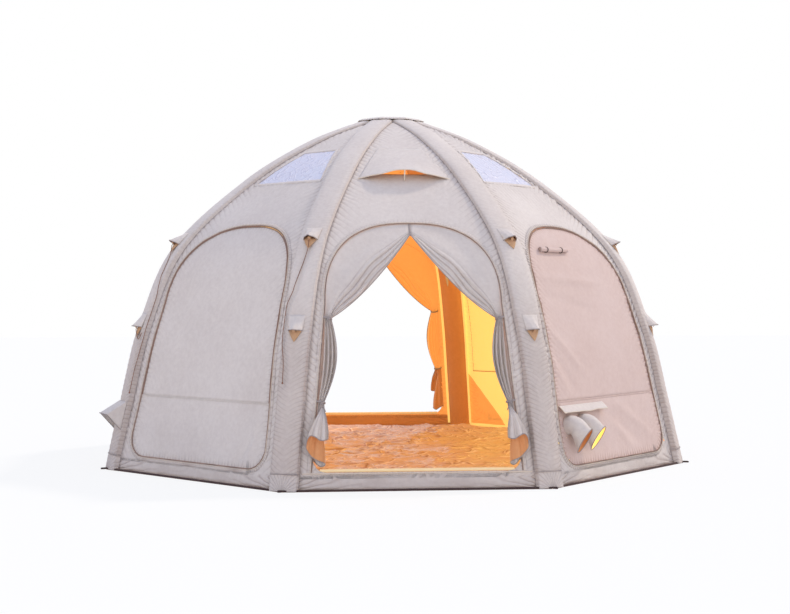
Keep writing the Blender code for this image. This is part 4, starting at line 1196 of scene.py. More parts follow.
class TENT_OT_sleeves(bpy.types.Operator):
    """Make the canvas sleeves round the air beams, with seams and guy line hoods"""

    bl_idname = "tent.sleeves"
    bl_label = "Beam sleeves"

    def execute(self, context):
        outer = "coated_polycotton_canvas"
        lining = "shaded_polyester_lining"
        for beam, label in enumerate(beam_names):
            turn = beam_turn(beam)
            cords = cord_tree(turn)
            place = partial(self.place, beam, turn, cords)
            mesh = surface(*sleeve_grid, place, True, (sleeve_girth, crest.length),
                           partial(self.gathers, beam))
            layer = mesh.loops.layers.uv.active
            for face in mesh.faces:
                girth = sum(loop[layer].uv.x for loop in face.loops) / len(face.loops)
                depth = self.section(girth / sleeve_girth)[1]
                face.material_index = 1 if -depth > lining_from_share else 0
            sleeve = piece(f"sleeve_{label}", mesh, [outer, lining], replaces=[f"beam_sleeve_{label}"])
            seams = []
            for side, hand in ((-1, "left"), (1, "right")):
                seams.append([turn @ self.seam_point(side, share) for share in shares(90)])
                self.tape(f"sleeve_tape_{label}_{hand}", turn, side)
            seams.append([turn @ sleeve_point(sleeve_half_width * (2 * share - 1), skirt_top, 0.001)
                          for share in shares(24)])
            tubes(f"sleeve_seams_{label}", seams, context.scene.tent_sizes.seam_radius,
                  "canvas_seam", sides=1)
            for number, rim in enumerate(hood_heights):
                self.hood(f"guy_hood_{label}_{number + 1}", turn, rim, beam + number)
        return {"FINISHED"}

    def section(self, share):
        """A place round the sleeve: half width share and depth share."""
        half = list(sleeve_section_shares)
        ring = half + [(-across, depth) for across, depth in half[-2:0:-1]]
        along = share * len(ring)
        index = int(along) % len(ring)
        four = [ring[(index + shift) % len(ring)] for shift in (-1, 0, 1, 2)]
        part = along - int(along)
        return (curve_value(*(knot[0] for knot in four), part),
                curve_value(*(knot[1] for knot in four), part))

    def place(self, beam, turn, cords, u, v):
        """A point of the sleeve: slanting gathers outside, and a groove under each cord."""
        run = lerp(0.004, crest.length - 0.003, v)
        middle, normal = crest.at(run)
        across_share, depth_share = self.section(u)
        across = across_share * sleeve_half_width
        seed = beam * 2.3
        low = 1.0 - ease((middle.y - 0.1) / 0.9)
        outer = ease((depth_share + 0.3) / 0.2)
        strong = 0.35 + 0.65 * ease((1.25 - middle.y) / 0.4)
        beside = 0.3 + 0.7 * abs(across_share)
        count = (run - 0.55 * abs(across)) / sleeve_pucker_spacing
        count += 1.2 * uneven(across * 5, run * 4, seed)
        lift = outer * sleeve_pucker_height * strong * beside * ripple(count)
        lift += outer * sleeve_lump_height * uneven(across * 9, run * 3.1, seed)
        lift += sleeve_crumple_height * low * uneven(across * 20, run * 14, seed)
        flat = middle + normal * (depth_share * sleeve_depth + lift - sleeve_inset)
        point = Vector((across, -flat.x, flat.y))
        _, _, distance = cords.find(point)
        if distance < groove_reach:
            core = middle - normal * (sleeve_depth / 2)
            inward = (Vector((0.0, -core.x, core.y)) - point).normalized()
            point += inward * groove_depth * (1 - (distance / groove_reach) ** 2)
        point.z = max(point.z, floor_top + gap)
        return turn @ point

    def gathers(self, beam, u, v):
        """Herringbone puckers on the outer strip, stronger and darker towards the ground."""
        run = crest.length * v
        middle, _ = crest.at(run)
        across_share, depth_share = self.section(u)
        beside = abs(across_share)
        low = ease((1.35 - middle.y) / 0.5)
        count = (run - sleeve_gather_lag * beside) / sleeve_gather_spacing
        count += 1.3 * uneven(across_share * 0.6, run * 4.0, beam * 2.3)
        strength = (0.18 + 0.34 * low) * (0.15 + 0.85 * beside) * ease((depth_share + 0.5) / 0.2)
        # Painted shade along the seams at the sleeve's sides; the cloth is also darker towards the ground
        shade = 0.02 + 0.20 * low + 0.10 * ease((beside - 0.8) / 0.2)
        skirt = ease((skirt_top - middle.y) / 0.015)
        if skirt > 0:
            count = corner_fan(beside * sleeve_half_width, middle.y)
            strength = lerp(strength, 0.55, skirt)
            shade = lerp(shade, 0.10, skirt)
        return count, strength, shade

    def seam_point(self, side, share):
        """A point on the seam between a sleeve and the wall beside it."""
        run = lerp(0.01, wall_middle.length - 0.02, share)
        middle, _ = wall_middle.at(run)
        edge = wall_edge(middle.x) + 0.001
        return face_turn(side / 2) @ wall_at(-side * edge, run, 0.001)

    def tape(self, name, turn, side):
        """The tape over the seam between a sleeve and a wall, inside the tent."""

        def place(u, v):
            run = lerp(tape_bottom, tape_top, v)
            middle, _ = wall_middle.at(run)
            edge = wall_edge(middle.x) - 0.002 - tape_width * u
            lift = -tape_depth - 0.0025 * math.sin(9 * v + side) * math.sin(math.pi * u)
            return turn @ (face_turn(side / 2) @ wall_at(-side * edge, run, lift))

        mesh = surface(3, 60, place, cloth=(tape_width, tape_top))
        face_towards(mesh, -outside(turn))
        piece(name, mesh, ["backlit_yellow_lining"], thickness=tape_thickness)

    def hood(self, name, turn, rim, seed):
        """A pocket of canvas over a guy line's webbing, open below."""

        def place(u, v):
            across = 2 * u - 1
            dome = 1 - across**2
            run = crest.run_at(rim) + hood_length * (1 - v) - 0.012 * v * dome
            lift = 0.001 + (hood_rise - 0.002) * v**1.15 * dome + 0.003 * v * math.sin(across * 9 + seed)
            half = lerp(hood_top_half_width, hood_rim_half_width, v)
            return turn @ sleeve_at(across * half, run, lift)

        mesh = surface(22, 10, place, cloth=(0.2, 0.12))
        face_towards(mesh, outside(turn))
        piece(name, mesh, ["coated_polycotton_canvas", "canvas_reverse"], thickness=hood_thickness)
        rim_line = [place(share, 1.0) for share in shares(24)]
        tubes(f"{name}_binding", [rim_line], binding_radius, "canvas_seam", sides=1)
        self.tab(f"{name}_webbing", turn, rim)
        self.patch(f"{name}_patch", turn, rim)

    def patch(self, name, turn, rim):
        """The pointed patch of canvas that spreads the guy line's pull over the sleeve."""

        def place(u, v):
            across = 2 * u - 1
            run = crest.run_at(rim) + patch_overlap - patch_length * v
            half = patch_half_width * (1 - v**1.6) + 0.0005
            lift = patch_lift + 0.010 * (1 - across**2) * math.sin(math.pi * min(1.0, 1.2 * v))
            return turn @ sleeve_at(across * half, run, lift)

        mesh = surface(10, 12, place, cloth=(0.09, 0.09))
        face_towards(mesh, outside(turn))
        piece(name, mesh, ["canvas_reverse"], thickness=patch_thickness)

    def tab(self, name, turn, rim):
        """The webbing loop under a hood."""

        def place(u, v):
            angle = math.pi * v
            run = crest.run_at(rim) + patch_overlap - tab_reach * math.sin(angle / 2)
            middle, normal = crest.at(run)
            point = middle + normal * (patch_lift + tab_height * math.sin(angle))
            return turn @ Vector((lerp(-tab_half_width, tab_half_width, u), -point.x, point.y))

        mesh = surface(2, 12, place, cloth=(0.02, 0.08))
        piece(name, mesh, ["canvas_reverse"], thickness=tab_thickness, offset=0.0)


# The least share of its rectangle that a sheet's cut is taken to fill
least_cut_share = 0.305
# The orange corner inside each window face, as width and height
corner_pocket = ((0.95, 0.545), (0.74, 0.545), (0.41, 0.12), (0.36, 0.035), (0.95, 0.035))
# The strip under each door, where the lining is in the shade
sill_inside = ((0.84, 0.0), (0.84, 0.112), (-0.84, 0.112), (-0.84, 0.0))
wall_grid = (56, 140)
flap_grid = (50, 60)
flap_margin = 0.02
flap_gap = 0.003
flap_zip_inset = 0.007
fold_seam_radius = 0.0034
fold_seam_depth = 0.004
# The band of cloth beside the zip: where it starts, stands highest and ends
band_start = 0.003
band_crest = 0.017
band_end = 0.032
band_lift = 0.0004
door_band_height = 0.003
window_band_height = 0.0065
piping_radius = 0.0022
webbing_radius = 0.0075
sill_piping_radius = 0.004
threshold_radius = 0.012


class TENT_OT_walls(bpy.types.Operator):
    """Make the canvas walls with their arches, zips, bands and wrinkles"""

    bl_idname = "tent.walls"
    bl_label = "Walls"

    def execute(self, context):
        outer = "coated_polycotton_canvas"
        trees = arch_tree(arch_corner_radius), arch_tree(zip_corner_radius)
        for face, label in enumerate(face_names):
            turn = face_turn(face)
            door = face in door_faces
            panel = "sunlit_polycotton_canvas" if face in sunny_faces else outer
            # Window faces are lined with the yellow lining, whose yellow and glow are painted backlight;
            # door sills get the shaded lining
            inner = "orange_polyester_lining" if door else "backlit_yellow_lining"
            second = "shaded_polyester_lining" if door else "orange_polyester_lining"
            relief = partial(wall_relief, face)
            gathers = wall_gathers(face, trees[0] if door else trees[1])
            mesh = flat_cloth(*wall_grid, 0.0, wall_middle.length)
            self.cut(mesh, face)
            area = raise_cloth(mesh, relief, turn, gathers)
            # The finishes are pairs of an outer and an inner side, and cut has picked the pairs
            wall = piece(f"canvas_wall_{label}", mesh,
                         [outer, inner, outer, second, panel, inner, panel, second],
                         replaces=[f"wall_{label}"], thickness=canvas)
            if not door:
                self.flap(label, turn, panel, relief, gathers)
            band = self.trim(face, label, turn, relief)
            area += sum(part.area for part in band.data.polygons)
            width = 2 * wall_edge(wall_middle.points[0].x)
            area = max(area, least_cut_share * width * wall_middle.length)
        self.base()
        return {"FINISHED"}

    def cut(self, mesh, face):
        """Cuts a wall's openings and marks the parts that have another finish."""
        if face in door_faces:
            cut_outline(mesh, on_cloth(arch_outline(arch_bottom, 0.0, arch_corner_radius)), False)
            cut_outline(mesh, on_cloth(roof_outline(vent_margin)), False)
            score_outline(mesh, on_cloth(sill_inside), 2)
            return
        cut_outline(mesh, on_cloth(arch_outline(fold_seam_height, 0.0, 0.0)), False)
        if face in skylight_faces:
            cut_outline(mesh, on_cloth(roof_outline(0.0)), False)
        if face == port_face:
            for centre in port_centres:
                cut_outline(mesh, on_cloth(circle(centre, port_height, port_radius)), False)
        score_outline(mesh, on_cloth(arch_outline(arch_bottom, 0.0, zip_corner_radius)), 4)
        score_outline(mesh, on_cloth(corner_pocket), 2)

    def flap(self, label, turn, outer, relief, gathers):
        """The upper part of a window panel, with its zip and the seam that it folds about."""
        sizes = bpy.context.scene.tent_sizes
        body = f"window_flap_{label}"
        low = wall_middle.run_at(fold_seam_height)
        high = wall_middle.run_at(arch_top)
        mesh = flat_cloth(*flap_grid, low - flap_margin, high + flap_margin)
        cut_outline(mesh, on_cloth(arch_outline(fold_seam_height, flap_gap, 0.0)), True)
        area = raise_cloth(mesh, relief, turn, gathers)
        panel = piece(f"canvas_flap_{label}", mesh, [outer, "backlit_yellow_lining"], body=body,
                      replaces=[body], thickness=canvas)
        outline = arch_outline(fold_seam_height, flap_zip_inset, 0.0)
        route = [turn @ wall_at(p.x, p.y, flap_gap + relief(p.x, p.y)) for p in on_cloth(outline)]
        tubes(f"flap_zip_{label}", [route], sizes.zip_radius * 0.7, "coil_zip", body=body, sides=1)
        half = arch_half_width(fold_seam_height)
        covers = (("outer", 0.0, outer), ("inner", -fold_seam_depth, "canvas_reverse"))
        for side, lift, finish in covers:
            seam = []
            for share in shares(40):
                across = lerp(-half, half, share)
                seam.append(turn @ wall_at(across, low + 0.0015, lift + relief(across, low)))
            tubes(f"fold_seam_{side}_{label}", [seam], fold_seam_radius, finish, sides=2)

    def trim(self, face, label, turn, relief):
        """The zip of one face, the band beside it and the band's piping."""
        sizes = bpy.context.scene.tent_sizes
        door = face in door_faces
        outline = on_cloth(arch_outline(arch_bottom, 0.0, 0.0 if door else zip_corner_radius))
        if not door:
            outline.append(outline[0])
        count = len(outline)

        def edge(offset, lift):
            """The outline moved outwards on the cloth and raised from it."""
            moved = []
            for index, point in enumerate(outline):
                before = outline[index - 1] if index > 0 else outline[0 if door else -2]
                after = outline[index + 1] if index + 1 < count else outline[-1 if door else 1]
                along = (after - before).normalized()
                spot = point + Vector((along.y, -along.x, 0.0)) * offset
                moved.append(turn @ wall_at(spot.x, spot.y, lift + relief(spot.x, spot.y)))
            return moved

        high = door_band_height if door else window_band_height
        rows = [edge(band_start, band_lift), edge(band_start, high / 2), edge(band_crest, high),
                edge(band_end, 0.001), edge(band_end, band_lift)]
        gathered = 0.35 if door else (0.95 if face in sunny_faces else 0.6)

        def place(u, v):
            return rows[round(v * (len(rows) - 1))][round(u * (count - 1))]

        mesh = surface(count - 1, len(rows) - 1, place, cloth=(4.5, 0.04),
                       gathers=lambda u, v: (u * 150.0, gathered, 0.12))
        bmesh.ops.remove_doubles(mesh, verts=mesh.verts, dist=same_point)
        bmesh.ops.recalc_face_normals(mesh, faces=mesh.faces)
        band = piece(f"arch_band_{label}", mesh, ["coated_polycotton_canvas"])
        zip_line = edge(0.0005, 0.0035)
        piping = edge(0.010, high + 0.001)
        if not door:
            zip_line.pop()
            piping.pop()
        tubes(f"arch_zip_{label}", [zip_line], sizes.zip_radius * (0.6 if door else 0.8),
              "coil_zip", cyclic=not door, sides=1)
        tubes(f"arch_piping_{label}", [piping], piping_radius, "cotton_bias_tape", cyclic=not door, sides=1)
        return band

    def base(self):
        """The dark webbing along the walls' lower edge, and the piping and rolls on the door sills."""
        reach = (corner_radius + floor_overhang) * math.cos(half_angle) - 0.003
        half = reach * math.tan(half_angle) - 0.02
        ring = []
        for face in range(side_count):
            for across in (-half, half):
                ring.append(face_turn(face) @ Vector((across, -reach, webbing_radius)))
        tubes("base_webbing", [ring], webbing_radius, "dark_polyester_webbing", cyclic=True, sides=2)
        for face in door_faces:
            label = face_names[face]
            self.sill(f"sill_piping_{label}", face, longer=0.06, above=-0.008, lift=0.006,
                      radius=sill_piping_radius, finish="cotton_bias_tape", sides=2)
            self.sill(f"threshold_{label}", face, longer=-0.055, above=0.012, lift=-0.010,
                      radius=threshold_radius, finish="threshold_cloth", sides=3)

    def sill(self, name, face, longer, above, lift, radius, finish, sides):
        """A straight roll along a door's sill."""
        half = arch_half_width_bottom + longer
        route = [face_turn(face) @ wall_point(lerp(-half, half, share), arch_bottom + above, lift)
                 for share in shares(30)]
        tubes(name, [route], radius, finish, sides=sides)


# Roof windows, vents and crown
roof_low = wall_middle.run_at(roof_bottom)
roof_high = wall_middle.run_at(roof_top)
film_thickness = 0.001
film_overlap = 0.012
film_frame_inset = 0.008
film_frame_height = 0.004
vent_wave_height = 0.002
vent_rim_dip = 0.010
vent_piping_radius = 0.0045
crown_overhang = 0.03
crown_rise = 0.018
crown_pucker_height = 0.0016
crown_pucker_count = 56
crown_hem_drop = 0.014


class TENT_OT_roof(bpy.types.Operator):
    """Make the roof windows, the vents' hoods and the crown"""

    bl_idname = "tent.roof"
    bl_label = "Roof"

    def execute(self, context):
        for face in skylight_faces:
            self.window(face)
        for face in door_faces:
            self.vent(face)
        self.crown()
        return {"FINISHED"}

    def window(self, face):
        """A clear pane and the frame of cloth that is sewn over its edge."""
        label = face_names[face]
        turn = face_turn(face)
        mesh = flat_cloth(40, 16, roof_low - flap_margin, roof_high + flap_margin)
        cut_outline(mesh, on_cloth(roof_outline(0.002)), True)

        def film(across, run):
            return 0.4 * wall_relief(face, across, run) - 0.0005

        area = raise_cloth(mesh, film, turn)
        pane = piece(f"film_pane_{label}", mesh, ["clear_pvc_film"],
                     replaces=[f"skylight_{label}"], thickness=film_thickness)
        outer = on_cloth(roof_outline(-film_overlap))
        inner = on_cloth(roof_outline(film_frame_inset))

        def along(points, u):
            """A place at a share of the way round an outline."""
            spot = u * len(points)
            index = int(spot) % len(points)
            return points[index].lerp(points[(index + 1) % len(points)], spot - int(spot))

        def place(u, v):
            spot = along(outer, u).lerp(along(inner, u), v)
            lift = 0.001 + film_frame_height * math.sin(math.pi * v)
            return turn @ wall_at(spot.x, spot.y, lift + 0.8 * wall_relief(face, spot.x, spot.y))

        mesh = surface(56, 4, place, True, (1.9, 0.02))
        face_towards(mesh, outside(turn))
        piece(f"film_frame_{label}", mesh, ["coated_polycotton_canvas"], thickness=film_thickness)

    def vent(self, face):
        """The hood of a roof vent, domed at its rim."""
        label = face_names[face]
        turn = face_turn(face)

        def place(u, v):
            across = 2 * u - 1
            half = lerp(roof_half_width_top, roof_half_width_bottom, v)
            run = lerp(roof_high, roof_low, v) + vent_rim_dip * v**4 * ripple(across + 0.25)
            dome = (1 - across**2) ** 1.2
            lift = vent_hood_gap + 0.0012 + vent_hood_lift * v**2 * dome
            lift += vent_wave_height * math.sin(across * 14 + v * 5) * v * (1 - across**2)
            return turn @ wall_at(across * half, run, lift)

        mesh = surface(40, 20, place, cloth=(0.5, 0.37))
        face_towards(mesh, outside(turn))
        hood = piece(f"canvas_vent_hood_{label}", mesh,
                     ["coated_polycotton_canvas", "canvas_reverse"],
                     replaces=[f"vent_hood_{label}"], thickness=canvas)
        middle = (roof_low + roof_high) / 2
        normal = wall_at(0, middle, 1.0) - wall_at(0, middle, 0.0)
        tuple(turn @ wall_at(0, roof_low, 0.002))
        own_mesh(hood)
        rim_line = [place(share, 1.0) for share in shares(40)]
        rim = tubes(f"vent_hood_piping_{label}", [rim_line], vent_piping_radius, "cotton_bias_tape",
                    sides=2)
        rim.data.use_fill_caps = True

    def crown(self):
        """The canvas patch where the sleeves meet, puckered at its edge."""
        top = crest.points[-1].y

        def place(u, v):
            angle = 2 * math.pi * u
            side = (angle + half_angle) % full_angle - half_angle
            radius = (crown_apothem + crown_overhang) / math.cos(side) * v
            height = top + crown_rise * (1 - (v * 0.88) ** 2)
            height += crown_pucker_height * ease((v - 0.6) / 0.35) * math.sin(angle * crown_pucker_count)
            height -= crown_hem_drop * ease((v - 0.86) / 0.14)
            return Vector((radius * math.sin(angle), -radius * math.cos(angle), height))

        mesh = surface(224, 14, place, True, (1.7, 0.26))
        bmesh.ops.recalc_face_normals(mesh, faces=mesh.faces)
        face_towards(mesh, Vector((0.0, 0.0, 1.0)))
        piece("canvas_crown", mesh, ["coated_polycotton_canvas"], replaces=["crown_cover"],
              thickness=canvas)


# Curtains, as in the solid model but finer
curtain_overlap = 0.014
hem_inside = 0.007
hem_limit_share = 0.5
curtain_wall_gap = 0.0005
curtain_meet = arch_top - 0.08
upper_tie_height = 1.13
lower_tie_height = 0.575
tail_low = 0.17
tail_high = 0.335
tie_width = 0.045
bundle_width = 0.105
bundle_depth = 0.04
tail_width = 0.26
tail_depth = 0.10
centre_gap = 0.004
swag_turn_share = 0.93
swag_bend_share = 0.60
swag_sag_share = 0.22
tail_shares = (
    (0.0, 0.054, 0.0, 0.1),
    (0.1, -0.05, -0.01, 0.1),
    (0.2, -0.20, 0.2, 0.0),
    (0.3, -0.32, 0.4, 0.0),
    (0.4, -0.10, 0.42, 0.1),
    (0.5, 0.10, 0.48, 0.45),
    (0.6, 0.20, 0.68, 0.75),
    (0.7, 0.12, 0.86, 1.0),
    (0.8, -0.06, 0.92, 1.0),
    (1.0, -0.34, 1.0, 0.9),
)
curtain_columns = 56
curtain_rows = (60, 40, 32)
curtain_thickness = 0.0016
curtain_hem_radius = 0.0032
curtain_meet_radius = 0.0065
# Share of the columns that lies behind the wall
hem_columns = 0.06
tie_half_height = 0.006
tie_end_radius = 0.0035
tie_thickness = 0.002


def column_share(share, width):
    """Place along a row: the first part lies behind the wall, the rest inside the arch."""
    first = min(hem_limit_share, (curtain_overlap + hem_inside) / width)
    if share < hem_columns:
        return first * share / hem_columns
    return first + (1 - first) * (share - hem_columns) / (1 - hem_columns)


def curtain_top(down, share):
    """The swag from the arch to the upper tie: width, height and depth behind the wall."""
    angle = math.pi / 2 * (1 - min(1.0, down / swag_turn_share))
    half = arch_half_width_spring + curtain_overlap
    rise = arch_top + curtain_overlap - arch_spring
    out_share, up_share = crown_shares(angle)
    fixed = Vector((half * out_share, arch_spring + rise * up_share))
    if down > swag_turn_share:
        low = (down - swag_turn_share) / (1 - swag_turn_share)
        fixed.y = lerp(arch_spring, upper_tie_height, low)
        fixed.x = arch_half_width(fixed.y) + curtain_overlap
    fixed.x = max(fixed.x, centre_gap)
    start = Vector((centre_gap, curtain_meet))
    tie_edge = Vector((arch_half_width(upper_tie_height) - tie_width, upper_tie_height))
    bend = Vector((tie_edge.x * swag_bend_share, lerp(upper_tie_height, curtain_meet, swag_sag_share)))
    free = start.lerp(bend, down).lerp(bend.lerp(tie_edge, down), down)
    place = column_share(share, (free - fixed).length)
    point = fixed.lerp(free, place)
    depth = bpy.context.scene.tent_sizes.fold_depth * math.sin(math.pi * min(down, 0.8))
    near_free = ease((place - 0.50) / 0.3)
    narrow = folds(3.5 * (2 * place - 1) ** 1.3) if place > 0.5 else 0.0
    inward = canvas + curtain_wall_gap + 0.5 * depth * narrow * near_free
    inward += 0.35 * depth * folds(1.5 * place) * (1 - near_free)
    return point.x, point.y, inward


def curtain_bundle(down, share):
    """The gathered cloth between the ties."""
    height = lerp(upper_tie_height, lower_tie_height, down)
    bulge = math.sin(math.pi * down)
    half = arch_half_width(height)
    fixed = half + curtain_overlap
    free = half - lerp(tie_width, bundle_width, bulge)
    place = column_share(share, fixed - free)
    fold = 0.5 - 0.5 * math.cos(2 * math.pi * 4.0 * place**1.2 + 0.8 * math.sin(down * 5))
    depth = bundle_depth * (0.15 + 0.85 * bulge)
    inward = canvas + curtain_wall_gap + depth * fold * min(1.0, place * 4)
    return lerp(fixed, free, place), height, inward


def tail_place(share):
    """The shares of width, reach and height of the tail's hem at a share along it."""
    last = len(tail_shares) - 1
    for index in range(last):
        start, end = tail_shares[index][0], tail_shares[index + 1][0]
        if share <= end:
            part = (share - start) / (end - start)
            four = [tail_shares[min(max(index + shift, 0), last)] for shift in (-1, 0, 1, 2)]
            return [curve_value(*(spot[axis] for spot in four), part) for axis in (1, 2, 3)]
    return tail_shares[last][1:]


def curtain_tail(down, share):
    """The end below the lower tie, which opens out in front of the wall."""
    spread = ease(down)
    opened = ease(down / 0.5)
    gathered = curtain_bundle(1.0, share)
    across_share, reach_share, height_share = tail_place(share)
    height = lerp(lower_tie_height, lerp(tail_low, tail_high, height_share), down)
    half = arch_half_width(height)
    across = half + tail_width * across_share
    inward = curtain_wall_gap + canvas - tail_depth * reach_share
    inward -= 0.009 * spread * ripple(share * 8) * min(1.0, share * 5)
    height += 0.012 * spread * math.sin(2 * math.pi * share * 3 + 0.8)
    start_across = half + (gathered[0] - arch_half_width(lower_tie_height))
    return lerp(start_across, across, spread), height, lerp(gathered[2], inward, opened)


def curtain_gathers(u, v):
    """Fine folds along a curtain: near the free edge of its swag and all over its bundle."""
    row = v * sum(curtain_rows)
    swag = ease((curtain_rows[0] - row) / 8)
    strength = lerp(0.6, 1.1 * ease((u - 0.55) / 0.20), swag)
    return 9.0 * u + 0.5 * uneven(u * 2, v * 9, 1.0), strength, 0.04


class TENT_OT_curtains(bpy.types.Operator):
    """Make the halves of the doors, drawn aside and tied twice"""

    bl_idname = "tent.curtains"
    bl_label = "Door curtains"

    def execute(self, context):
        for face in door_faces:
            for side in (-1, 1):
                self.curtain(face, side)
            seam = [face_turn(face) @ wall_point(0.0, lerp(curtain_meet, arch_top, share), -0.005)
                    for share in shares(8)]
            tubes(f"curtain_meet_{face_names[face]}", [seam], curtain_meet_radius,
                  "canvas_seam", sides=2)
        return {"FINISHED"}

    def curtain(self, face, side):
        """One half of a door, hung on the arch and tied twice at its side."""
        hand = "right" if side > 0 else "left"
        label = f"{face_names[face]}_{hand}"
        turn = face_turn(face)
        total = sum(curtain_rows)

        def row_point(share, v):
            row = v * total
            if row <= curtain_rows[0]:
                return curtain_top(row / curtain_rows[0], share)
            row -= curtain_rows[0]
            if row <= curtain_rows[1]:
                return curtain_bundle(row / curtain_rows[1], share)
            return curtain_tail((row - curtain_rows[1]) / curtain_rows[2], share)

        def place(u, v):
            across, up, inward = row_point(u, v)
            return turn @ wall_point(side * across, up, -inward)

        mesh = surface(curtain_columns, total, place, cloth=(0.7, 1.7), gathers=curtain_gathers)
        swag = [part for part in mesh.faces if part.calc_center_median().z > arch_spring]
        face_towards(mesh, outside(turn), swag)
        area = sum(part.calc_area() for part in mesh.faces)
        for part in mesh.faces:
            if part.calc_center_median().z < lower_tie_height:
                part.material_index = 2
        drape = piece(f"canvas_curtain_{label}", mesh,
                      ["coated_polycotton_canvas", "orange_polyester_lining",
                       "coated_polycotton_canvas", "shaded_polyester_lining"],
                      replaces=[f"door_curtain_{label}"],
                      thickness=curtain_thickness)
        hem = [place(1.0, share) for share in shares(150)]
        end = [place(1.0 - share, 1.0) for share in shares(60)]
        tubes(f"curtain_hem_{label}", [hem, end], curtain_hem_radius, "canvas_seam",
              sides=1)
        for number, height in enumerate((upper_tie_height, lower_tie_height)):
            self.tie(f"curtain_tie_{label}_{number + 1}", turn, side, height)

    def tie(self, name, turn, side, height):
        """A webbing band round the gathered cloth, with its two loose ends."""
        centre = arch_half_width(height) - tie_width / 2 + 0.004
        reach = tie_width / 2 + 0.012

        def place(u, v):
            angle = 2 * math.pi * u
            across = centre + reach * math.cos(angle)
            inward = 0.012 - 0.026 * math.sin(angle)
            up = height + tie_half_height * (2 * v - 1 + math.cos(angle))
            return turn @ wall_point(side * across, up, -inward)

        mesh = surface(28, 2, place, True, (0.2, 0.02))
        bmesh.ops.recalc_face_normals(mesh, faces=mesh.faces)
        piece(name, mesh, ["canvas_seam"], thickness=tie_thickness, offset=1.0)
        ends = []
        for slant in (-0.5, 0.4):
            knots = []
            for aside, drop, lift in ((0.0, 0.0, 0.018), (0.02, 0.03, 0.026), (0.05, 0.065, 0.018)):
                across = centre - 0.01 + aside * slant
                knots.append(turn @ wall_point(side * across, height - drop, lift))
            ends.append(smooth_path(knots, 0.008))
        tubes(f"{name}_ends", ends, tie_end_radius, "canvas_seam", sides=1)


# The ground sheet, its wrinkles' heights and its webbing loops
floor_grid = (200, 200)
floor_wrinkle_heights = (0.030, 0.016, 0.004)
floor_flat_edge = 0.25
floor_same_point = 0.0001
loop_out = 0.016
loop_half_length = 0.021
loop_half_width = 0.013
loop_bottom = 0.0045
loop_height = 0.010
loop_thickness = 0.003


class TENT_OT_floor(bpy.types.Operator):
    """Make the wrinkled ground sheet and its webbing loops"""

    bl_idname = "tent.floor"
    bl_label = "Ground sheet"

    def execute(self, context):
        apothem = (corner_radius + floor_overhang) * math.cos(half_angle)

        def place(u, v):
            x = lerp(-apothem, apothem, u)
            y = lerp(-apothem, apothem, v)
            excess = abs(x) + abs(y) - apothem * (1 + math.tan(half_angle))
            if excess > 0:
                x -= math.copysign(excess / 2, x)
                y -= math.copysign(excess / 2, y)
            out = max(abs(x), abs(y), (abs(x) + abs(y)) / math.sqrt(2))
            edge = ease((apothem - out) / floor_flat_edge)
            return Vector((x, y, floor_top + edge * self.wrinkle(x, y)))

        mesh = surface(*floor_grid, place, cloth=(4.3, 4.3))
        face_towards(mesh, Vector((0.0, 0.0, 1.0)))
        bmesh.ops.remove_doubles(mesh, verts=mesh.verts, dist=floor_same_point)
        sheet = piece("oxford_ground_sheet", mesh, ["coated_oxford_floor"],
                      replaces=["ground_sheet"], thickness=floor_top)
        for beam, label in enumerate(beam_names):
            self.loop(beam, label)
        return {"FINISHED"}

    def wrinkle(self, x, y):
        """Ridges of loosely laid cloth, longer from side to side than from front to back."""
        warp = 0.25 * uneven(x * 1.1, y * 1.1, 3.0)
        ridges = (
            1 - abs(uneven(x * 1.7 + warp, y * 4.2 + warp * 3, 7.0)),
            1 - abs(uneven(x * 4.4, y * 9.0 + warp * 4, 1.0)),
            1 - abs(uneven(x * 11.0, y * 19.0 + warp * 4, 5.0)),
        )
        return sum(height * ridge**4 for height, ridge in zip(floor_wrinkle_heights, ridges))

    def loop(self, beam, label):
        """A webbing loop, folded flat and sewn under a corner."""
        turn = beam_turn(beam)

        def place(u, v):
            angle = 2 * math.pi * u
            out = corner_radius + floor_overhang + loop_out + loop_half_length * math.cos(angle)
            across = loop_half_width * math.sin(angle)
            return turn @ Vector((across, -out, loop_bottom + loop_height * v))

        mesh = surface(24, 1, place, True, (0.1, 0.01))
        bmesh.ops.recalc_face_normals(mesh, faces=mesh.faces)
        piece(f"peg_loop_{label}", mesh, ["dark_polyester_webbing"],
              thickness=loop_thickness, offset=0.0)


# The service port: a flap over two sleeves
port_centres = (-0.565, -0.39)
port_height = 0.39
port_radius = 0.058
port_flap_top = 0.525
port_flap_left = -0.645
port_flap_right = -0.085
port_flap_reach = 0.055
port_flap_drop = 0.045
port_binding_radius = 0.0032
duct_radius = 0.065
duct_hang = math.radians(58)
duct_bend_radius = 0.078
duct_bend_steps = 12
duct_straight_steps = 10
duct_lengths = (0.12, 0.115)
# The first duct's inside has the shaded lining, the second's the yellow lining with painted backlight
duct_linings = ("shaded_polyester_lining", "backlit_yellow_lining")
duct_mouth_half_height = 0.092
duct_mouth_half_width = 0.036
duct_collar = 0.012
mouth_slant = 0.085
# The rolled cover near the top of the front right window
roll_radius = 0.017
roll_length = 0.36
roll_across = -0.20
roll_height = 1.60
roll_turns = 3.2
roll_tie_places = (-0.10, 0.09)
roll_tie_radius = 0.003
roll_thickness = 0.0012


def circle(across, up, radius):
    """A round outline in width and height."""
    angles = [2 * math.pi * side / 20 for side in range(20)]
    return [(across + radius * math.cos(angle), up + radius * math.sin(angle)) for angle in angles]


